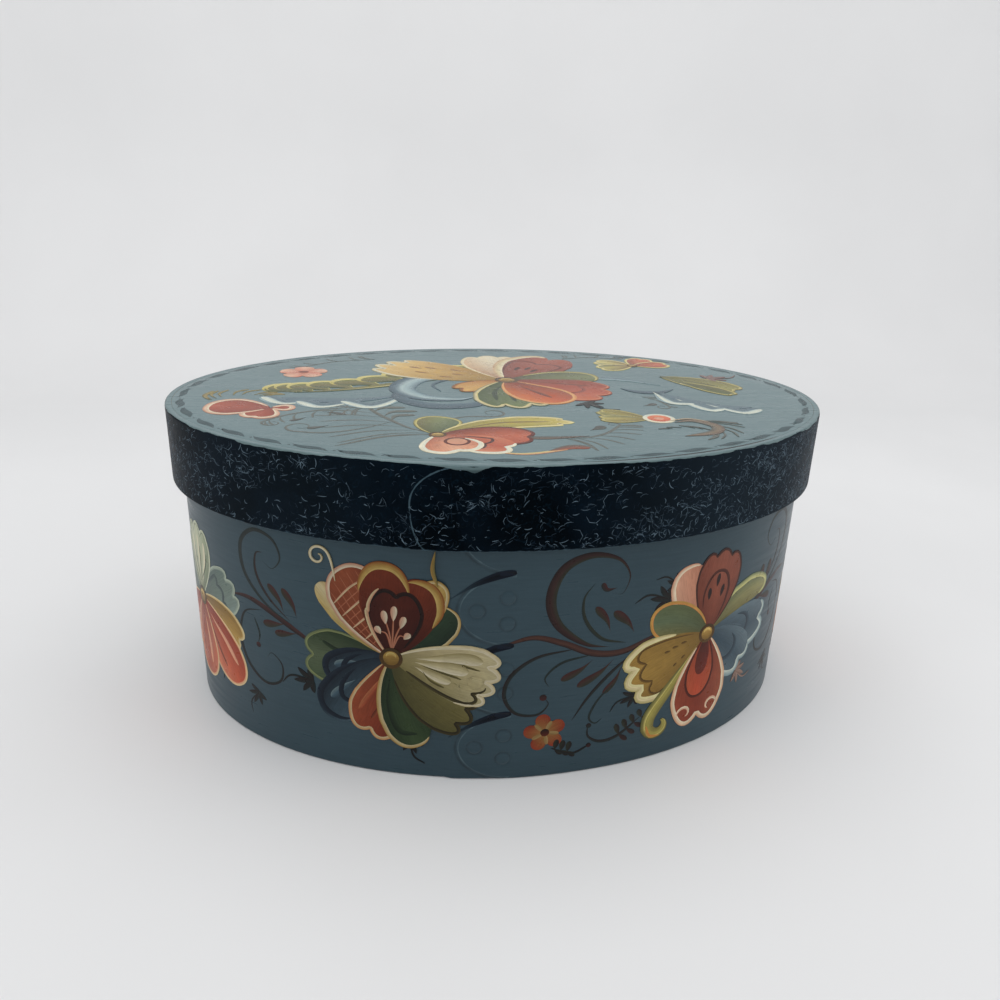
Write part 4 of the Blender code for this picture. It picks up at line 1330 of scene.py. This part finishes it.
def lid_blossom(painting, heart=(6.0, 25.0)):
    """The large blossom of the lid, with a gold petal, a pale one, two greens and four reds."""
    petal, near = fan_about(painting, heart)
    sprig(painting, near(30, -44), -50, 10)
    painting.stroke([(36, 26), (54, 29), (70, 24), (82, 14)], 5.0, (STEEL_BLUE, PALE_BLUE), 0.9, 1.0)
    painting.stroke([(60, 8), (67, 1), (77, 0), (86, 6)], 5.0, (STEEL_BLUE, DEEP_STEEL), 0.9, 1.0)
    gold = petal(148, 73, 39, lobes=4, notch=0.12, cap=0.3, bow=-14)
    gold.body(((190, 140, 62), (220, 176, 92), (196, 154, 78)), foot=(132, 106, 52),
              tip=(230, 204, 140))
    for out, across in ((0.5, -0.5), (0.62, -0.3), (0.74, -0.1), (0.6, 0.3), (0.46, 0.5), (0.4, 0.0)):
        gold.line([(out + 0.07, across), (out, across), (out - 0.05, across)], 2.4,
                  ((166, 108, 48), DARK_OCHRE), 0.6, 1.0)
    gold.rim(2.2, (MILK, CREAM), start=-0.4, end=0.62)
    pale = petal(94, 59, 34, lobes=3, notch=0.1)
    pale.body(((226, 206, 168), PALE_CREAM, (218, 182, 140)), foot=(160, 110, 76))
    pale.rim(1.8, (PALE_CREAM, CREAM))
    brick = petal(58, 64, 40, lobes=2, notch=0.12, bow=-12)
    brick.body(((150, 76, 58), (172, 92, 70), (138, 70, 56)), foot=(120, 60, 44))
    brick.rim(1.6, (OXBLOOD, (112, 50, 34)), inset=0.26)
    brick.rim(5.5, (PALE_CREAM, CREAM, (206, 168, 130)), start=0.1, end=0.95, inset=0.02)
    for out, across in ((0.5, -0.3), (0.6, 0.0), (0.5, 0.3)):
        brick.line([(out, across), (out - 0.14, across)], 2.6, (OXBLOOD, DEEP_MAROON), 0.6, 0.9)
    sage = petal(8, 48, 26, bow=-18, cap=0.4)
    sage.body(((92, 104, 70), (126, 134, 92), (84, 92, 64)), foot=(84, 76, 54))
    sage.rim(2.4, (STRAW, OLIVE), start=-0.3, end=0.8)
    amber = petal(224, 33, 24, lobes=3, notch=0.14)
    amber.body(((206, 150, 74), (222, 176, 96), DARK_OCHRE), foot=(150, 84, 44))
    amber.rim(1.8, ((170, 92, 46), DARK_OCHRE))
    sea = petal(270, 53, 36, lobes=3, notch=0.12, bow=16)
    sea.body(((78, 94, 58), (112, 126, 80), (90, 106, 66)), foot=(60, 72, 46))
    for across in (-0.45, 0.0, 0.45):
        sea.line([(0.8, across), (0.5, across), (0.15, across * 0.4)], 2.4, ((52, 68, 44), LEAF_GREEN))
    sea.rim(2.6, (STRAW, CREAM, SAGE))
    coral = petal(330, 54, 42, lobes=3, notch=0.1, bow=18)
    coral.body(((206, 116, 78), (186, 88, 60), (142, 66, 50)), foot=(122, 54, 40))
    coral.rim(2.2, ((132, 54, 40), (160, 76, 54)), inset=0.24)
    coral.line([(0.82, 0.5), (0.5, 0.5), (0.2, 0.3)], 3.0, (OXBLOOD, BRICK))
    coral.line([(0.7, -0.3), (0.5, -0.25), (0.2, -0.1)], 3.2, ((224, 142, 92), EMBER))
    coral.rim(1.6, ((214, 140, 100), (160, 70, 50)), start=-0.9, end=0.5)
    ember = petal(298, 49, 29, bow=26, cap=0.42)
    ember.body(((226, 128, 66), (200, 92, 48), BRICK), foot=OXBLOOD)
    ember.line([(0.8, 0.0), (0.5, 0.1), (0.2, 0.0)], 3.0, (OXBLOOD, BRICK))
    ember.rim(2.0, ((232, 180, 110), (222, 150, 96)))
    button(painting, heart, 6.0)


def front_blossom(painting, heart=(-33.0, -68.0)):
    """The smaller blossom near the front of the lid, swept to the right, with a long yellow leaf."""
    petal, near = fan_about(painting, heart)
    painting.stroke([near(14, -19), near(30, -25), near(48, -20)], 2.0, (STRAW, ROSE), 1.0, 0.5)
    painting.stroke([near(57, -18), near(50, -17), near(40, -22)], 5.0, ((150, 76, 50), TAUPE), 0.5, 1.1)
    painting.stroke([near(22, -1), near(40, -5), near(60, -3)], 3.6, (TAUPE, (110, 92, 80)), 0.9, 1.1)
    green = petal(82, 26, 19, bow=-30)
    green.body((SAGE, (126, 134, 92), OLIVE), foot=LEAF_GREEN)
    green.rim(1.5, (STRAW, OLIVE))
    leaf = petal(16, 62, 16, lobes=3, notch=0.1, bow=-58, cap=0.5)
    leaf.body(((150, 142, 66), (196, 180, 92), (170, 156, 78)), foot=(110, 104, 52))
    leaf.line([(0.85, 0.0), (0.5, 0.1), (0.15, 0.0)], 1.8, (DARK_OCHRE, OLIVE))
    leaf.rim(1.8, (CREAM, STRAW))
    long_petal = petal(-6, 38, 24, lobes=2, notch=0.08, bow=-16)
    long_petal.body(((166, 74, 48), (196, 104, 72), (138, 60, 42)), foot=OXBLOOD)
    long_petal.rim(1.6, ((104, 44, 32), OXBLOOD), start=-0.9, end=0.9)
    rosy = petal(-32, 33, 22, lobes=2, notch=0.1, bow=20)
    rosy.body(((216, 140, 104), (184, 88, 60), (206, 124, 90)), foot=(140, 62, 44))
    rosy.rim(1.4, (OXBLOOD, MAROON), inset=0.3, start=-0.8, end=0.8)
    rosy.rim(2.4, (MILK, PALE_CREAM), start=-0.5, end=0.25)
    pink = petal(-72, 23, 24, lobes=2, notch=0.1)
    pink.body(((196, 120, 88), (226, 168, 134), (206, 132, 100)), foot=(150, 70, 50))
    painting.dot(near(7, -9), 5.2, ((98, 46, 34), OXBLOOD))
    painting.dot(near(7, -9), 3.9, ((206, 150, 118), ROSE))
    pink.rim(2.6, (MILK, PALE_CREAM), start=-0.95, end=0.7)
    button(painting, heart, 3.6)


def end_flowers(painting):
    """Loose flowers towards the ends of the lid."""
    fan = [(-130, -14), (-124, -7), (-115, -4), (-106, -7)]
    comb(painting, fan, 11, 17, 66, 1.6, ((156, 138, 84), OLIVE))
    for turn, length, width, lobes in ((4, 9, 8, 1), (250, 16, 16, 2), (172, 27, 25, 1)):
        petal = Petal(painting, (-102, -27), turn, length, width, lobes, notch=0.08, cap=0.5)
        petal.body(((150, 70, 50), (178, 88, 64), (140, 62, 46)), foot=(138, 62, 44))
        petal.rim(2.6, (PALE_CREAM, ROSE))
    for step in range(5):
        petal = Petal(painting, (-95, 42), 20 + 72 * step, 12, 11, cap=0.5)
        petal.body((ROSE, (232, 190, 162), (214, 128, 104)), foot=(190, 84, 66))
    painting.dot((-95, 42), 2.6, (OXBLOOD, BRICK))
    for turn, length, tones in ((146, 24, (OLIVE, (166, 154, 78), SAGE)),
                                (176, 22, (SAGE, (186, 172, 96), OLIVE))):
        petal = Petal(painting, (59, -47), turn, length, 12, lobes=2)
        petal.body(tones, foot=(104, 88, 50))
        petal.rim(1.4, (STRAW, OLIVE))
    for radius, tones in ((7.0, (MILK, PALE_CREAM)), (5.0, ((226, 130, 92), (206, 96, 62))),
                          (2.2, (ROSE, (236, 176, 146)))):
        painting.dot((63, -46), radius, tones)
    crescent = [(68, -52), (77, -50), (84, -58), (80, -67), (66, -72)]
    comb(painting, [(76, -51), (83, -55), (84, -63), (78, -69)], 13, 19, 34, 1.0,
         (PALE_TAUPE, TAUPE), droop=0.1)
    comb(painting, [(80, -64), (70, -60), (62, -62)], 7, 9, -30, 0.9, (PALE_TAUPE, TAUPE), droop=0.2)
    painting.stroke(crescent, 5.4, ((104, 86, 74), (132, 114, 92), TAUPE), 0.9, 0.9)
    painting.stroke([(66, -50), (76, -47), (84, -52)], 1.6, ((206, 176, 130), TAUPE), 0.8, 0.9)
    painting.stroke([(112, -28), (98, -27), (84, -14), (76, 1)], 8.0, (STEEL_BLUE, SHADE_BLUE), 0.6, 0.7)
    for start, knee, end in (((92, -22), (104, -35), (115, -31)), ((81, -12), (90, -30), (98, -30)),
                             ((74, 2), (77, -17), (87, -21))):
        painting.stroke([end, knee, start], 8.0, (PALE_BLUE, STEEL_BLUE, SHADE_BLUE), 0.45, 1.2)
        painting.stroke([(end[0], end[1] - 1), (knee[0], knee[1] - 2), start], 4.0,
                        (MILK, MILK, PALE_BLUE), 0.35, 1.1)
    for heart, turn, length, width, tones in (
        ((87, 34), -44, 44, 24, ((96, 104, 62), (150, 146, 80), OLIVE)),
        ((93, 22), -54, 34, 12, ((104, 110, 62), (84, 94, 54), OLIVE)),
    ):
        petal = Petal(painting, heart, turn, length, width, lobes=2, bow=-14, cap=0.5, notch=0.08)
        petal.body(tones, foot=(84, 86, 54))
        petal.line([(0.8, 0.0), (0.5, 0.0), (0.15, 0.0)], 2.0, ((66, 76, 46), OLIVE))
        petal.rim(1.6, (STRAW, OLIVE))
    for turn, tones in ((150, (OLIVE, STRAW, SAGE)), (200, (SAGE, (186, 176, 104), OLIVE)),
                        (60, ((190, 92, 62), (206, 120, 88), BRICK)),
                        (10, ((170, 80, 56), (206, 112, 78), BRICK))):
        petal = Petal(painting, (80, 60), turn, 21, 15, lobes=2, notch=0.1)
        petal.body(tones, foot=(110, 64, 44))
        petal.rim(1.5, (CREAM, STRAW))
    button(painting, (80, 60), 3.0)
    sprig(painting, (111, 30), 14, 11, ((136, 104, 98), (114, 96, 90)))


for name, painter, lift, depth in (
    ("lid_scrolls", lid_scrolls, 0.02, 1.0),
    ("combed_leaf", combed_leaf, 0.13, 0.9),
    ("lid_blossom", lid_blossom, 0.18, 0.84),
    ("lid_front_blossom", front_blossom, 0.13, 0.94),
    ("lid_end_flowers", end_flowers, 0.13, 0.88),
):
    painting = Painting(name, on_lid, 1.2, lift, 0.001, depth)
    painter(painting)
    painting.finish(lid_brush_paint, "lid", "lid_top_paint")

# Border of the lid
# Slim S-shaped dashes of darker glaze just inside the rim of the lid, with a short tick or two
# between one and the next. A thin dark line fills the joint of board and band at the front right.
DASH_COUNT = 42
GLAZE = (42, 66, 71)
PALE_GLAZE = (50, 76, 81)
TICK_PLACES = (9.9, 12.4)


def near_rim(arcs, offsets, lift):
    return on_oval(lid_oval, arcs, offsets, lid_top + lift)


dashes = Painting("lid_border", near_rim, rise=0.0)
hand = random.Random(4)
for step in range(DASH_COUNT):
    middle = lid_oval["perimeter"] * (step + 0.5) / DASH_COUNT + hand.uniform(-1.0, 1.0)
    reach = hand.uniform(8.2, 9.6)
    sway = hand.uniform(0.8, 1.4)
    points = [(middle - reach, -6.6 - sway), (middle - 0.45 * reach, -6.4 + 0.3 * sway),
              (middle + 0.45 * reach, -6.0 - 0.3 * sway), (middle + reach, -5.8 + sway)]
    dashes.stroke(points, hand.uniform(3.0, 3.8), (GLAZE, PALE_GLAZE), 1.4, 1.4)
    for along in TICK_PLACES[:hand.choice((1, 2))]:
        tick = [(middle + along, -6.1), (middle + along + 1.4, -5.9)]
        dashes.stroke(tick, 0.9, (GLAZE, PALE_GLAZE), 0.6, 0.6)
joint_line = [(arc, INNER_FACE) for arc in (18.0, 65.0, 112.0)]
dashes.stroke(joint_line, 0.95, ((4, 7, 9), (6, 10, 12)), 0.5, 0.5)
dashes.finish(lid_brush_paint, "lid", "lid_top_paint")

# Paint over the lid's rim
# The slate blue of the lid top, brushed over the rim by hand, so that it ends unevenly a little
# way down the dark band.
RIM_PAINT = (100, 121, 124)
THIN_RIM_PAINT = (58, 76, 80)
RAGGED_WAVES = ((7, 0.2), (17, 0.17), (41, 0.12), (83, 0.09), (157, 0.04), (283, 0.02))


def round_rim(arcs, down, lift):
    """Places over the rounded rim: down is how far the brush has gone down the face."""
    turn = np.clip(-down / RIM_ROUNDING, 0.0, 1.0) * math.pi / 2
    start = lid_top - RIM_ROUNDING
    heights = np.where(down < 0, start + RIM_ROUNDING * np.sin(turn), start - np.maximum(down, 0.0))
    faces = lid_face(arcs, np.minimum(heights, start))
    offsets = faces - RIM_ROUNDING * (1 - np.cos(turn))
    return on_oval(lid_oval, arcs, offsets + lift * np.cos(turn), heights + lift * np.sin(turn))


def ragged(arcs, seed):
    """How far down the brush went, all round: a few sizes of waves, and one drip at the tongue."""
    hand = random.Random(seed)
    depth = -0.28 + 0.0 * arcs
    for waves, size in RAGGED_WAVES:
        turn = 2 * math.pi * waves * arcs / lid_oval["perimeter"] + hand.uniform(0, 6.28)
        depth = depth + size * np.sin(turn + 1.7 * np.sin(turn * 0.37))
    drip = 1.9 * np.exp(-np.abs((arcs + 22.0) / 3.4) ** 1.5)
    drip = drip + 0.7 * np.exp(-(((arcs + 29.0) / 3.6) ** 2))
    return np.maximum(depth, -0.6) + drip


over_rim = Painting("rim_overlap", round_rim, lift=0.03)
span = np.linspace(0.0, lid_oval["perimeter"], 1625) - lid_oval["perimeter"] / 2
brushed = (RIM_ROUNDING + ragged(span, 7))[:, None]
down = np.linspace(0.0, 1.0, 8)[None] * brushed - RIM_ROUNDING
grid = np.stack(np.broadcast_arrays(span[:, None], down), axis=-1)
thin = smooth_step((down - 0.2) / 1.2)[..., None]
tone = linear(*RIM_PAINT) * (1 - thin) + linear(*THIN_RIM_PAINT) * thin
over_rim.lay(grid, tone, grid * np.array([1.0, 2.0]))
over_rim.finish(lid_brush_paint, "lid", "lid_top_paint")

# Scratchy marks on the lid band
# Thousands of short curly touches of thin blue-grey, dabbed over the dark band with a dry brush
# and crossing each other every way.
MARK_COUNT = 11400
LONG_MARK_EVERY = 90
LONG_MARK = 8.0
LONG_MARK_CURL = 0.9
DARK_MARK = (12, 28, 42)
PALE_MARK = (100, 120, 134)
dry_brush_paint = brushed_paint("dry_brush_paint", (0.3, 0.45), 1.14)


def on_lid_band(arcs, heights, lift):
    return on_oval(lid_oval, arcs, lid_face(arcs, heights) + lift, heights)


def scratchy_marks(name, first_arc, last_arc, count, seed):
    """A stretch of the marks: each a bent tapering touch of three short lengths.

    Four times as many places are tried, and those in the denser patches are kept.
    """
    hand = np.random.default_rng(seed)
    tries = 4 * count
    arcs = hand.uniform(first_arc, last_arc, tries)
    heights = hand.uniform(0.2, lid_top - lid_base - 2.6, tries)
    patches = np.sin(arcs / 7.3 + 2.0 * np.sin(heights / 4.1)) + np.sin(arcs / 17.0 - heights / 5.2)
    patches += np.sin(arcs / 2.9 + heights / 2.3) * 0.6 + 1.5 * np.exp(-heights / 3.0)
    turn = 2 * math.pi * arcs / lid_oval["perimeter"]
    patches = 0.8 * patches - 1.1 * np.cos(2 * turn) + 1.2 * np.sin(turn)
    kept = np.argsort(hand.normal(0.0, 2.2, tries) - patches)[:count]
    length = hand.uniform(0.7, 3.9, count)
    heading = hand.normal(0.2, 0.85, count) + math.pi * hand.integers(0, 2, count)
    curl = hand.normal(0.0, 0.55, count)
    length[::LONG_MARK_EVERY] = LONG_MARK
    curl[::LONG_MARK_EVERY] = LONG_MARK_CURL
    breadth = hand.uniform(0.12, 0.36, count)
    line = np.stack([arcs[kept], heights[kept] + 0.9], axis=-1)
    rows = []
    for part, swell in enumerate((0.45, 1.0, 0.9, 0.25)):
        turn = heading + curl * part
        aside = np.stack([-np.sin(turn), np.cos(turn)], axis=-1) * (breadth * swell / 2)[:, None]
        rows.append(np.stack([line + aside, line - aside], axis=1))
        line = line + np.stack([np.cos(turn), np.sin(turn)], axis=-1) * (length / 3)[:, None]
    places = np.stack(rows, axis=1).reshape(-1, 2)
    places[:, 1] = lid_base + np.clip(places[:, 1], 0.8, lid_top - lid_base - 1.0)
    top = on_lid_band(*places.T, 0.03)
    foot = on_lid_band(*places.T, -PAINT_SINK)
    pale = hand.random(count) ** 2.3
    spread = (linear(*PALE_MARK) - linear(*DARK_MARK)) * pale[:, None]
    tones = np.repeat(linear(*DARK_MARK) + spread, 8, axis=0)
    block = []
    for step in (0, 2, 4):
        block += [(step, step + 1, step + 3, step + 2), (8 + step, 10 + step, 11 + step, 9 + step),
                  (step, step + 2, 10 + step, 8 + step), (step + 1, 9 + step, 11 + step, step + 3)]
    block += [(0, 8, 9, 1), (6, 7, 15, 14)]
    block = np.array(block)
    low = block >= 8
    faces = block[None] % 8 + 8 * np.arange(count)[:, None, None] + low * 8 * count
    painting = Painting(name, None)
    painting.points = [top, foot]
    painting.faces = faces.reshape(-1, 4).tolist()
    painting.colours = [tones, tones]
    painting.brush = [places, places]
    painting.finish(dry_brush_paint, "lid", "lid_band_paint")


half_round = lid_oval["perimeter"] / 2
scratchy_marks("lid_band_marks_front", -half_round / 2, half_round / 2, MARK_COUNT // 2, 11)
scratchy_marks("lid_band_marks_back", half_round / 2, 3 * half_round / 2, MARK_COUNT // 2, 12)

# Floor and light
# A plain pale sheet under the box, bent up behind it, with soft daylight from above, a window at
# either side and a weak fill from the front.
FLOOR_DROP = 0.0001
SHEET_SIDE = 2.6
SHEET_FRONT = -1.2
SHEET_BEND = 0.5
SHEET_BEND_RADIUS = 0.3
SHEET_TOP = 1.6
sheet_paint = Finish("sheet")
mottle = sheet_paint.spread(sheet_paint.noise(3.0), 0.4, 0.6)
sheet_paint.colour(sheet_paint.blend(mottle, linear(226, 226, 226), linear(229, 229, 229)))
sheet_paint.shader.inputs["Roughness"].default_value = 0.8
profile = [(SHEET_FRONT, 0.0), (SHEET_BEND, 0.0)]
for turn in np.linspace(0.1, math.pi / 2, 12):
    out = SHEET_BEND_RADIUS * math.sin(turn)
    profile.append((SHEET_BEND + out, SHEET_BEND_RADIUS * (1 - math.cos(turn))))
profile.append((SHEET_BEND + SHEET_BEND_RADIUS, SHEET_TOP))
points = [(side, y, z - FLOOR_DROP) for side in (-SHEET_SIDE, SHEET_SIDE) for y, z in profile]
count = len(profile)
faces = [(row, count + row, count + row + 1, row + 1) for row in range(count - 1)]
sheet = smooth_object("sheet", points, faces)
sheet.data.materials.append(sheet_paint.material)


def area_light(name, place, aim, size, power):
    data = bpy.data.lights.new(name, "AREA")
    data.shape = "RECTANGLE"
    data.size, data.size_y = size
    data.energy = power
    lamp = bpy.data.objects.new(name, data)
    lamp.location = place
    direction = Vector(aim) - Vector(place)
    lamp.rotation_euler = direction.to_track_quat("-Z", "Y").to_euler()
    bpy.context.scene.collection.objects.link(lamp)


area_light("sky_light", (0.0, 0.0, 1.1), (0.0, 0.0, 0.05), (1.4, 1.0), 6.35)
area_light("front_fill", (-0.2, -1.1, 0.7), (0.0, 0.0, 0.05), (1.0, 0.8), 0.8)
area_light("right_window", (1.25, -0.35, 0.5), (0.1, 0.0, 0.07), (0.9, 0.7), 4.1)
area_light("left_window", (-1.25, -0.2, 0.5), (-0.1, 0.0, 0.07), (0.9, 0.7), 3.2)
world = bpy.data.worlds.new("room")
world.use_nodes = True
sky = world.node_tree.nodes["Background"]
sky.inputs["Color"].default_value = (0.8, 0.81, 0.83, 1.0)
sky.inputs["Strength"].default_value = 0.62
bpy.context.scene.world = world
bpy.context.scene.view_settings.view_transform = "Standard"
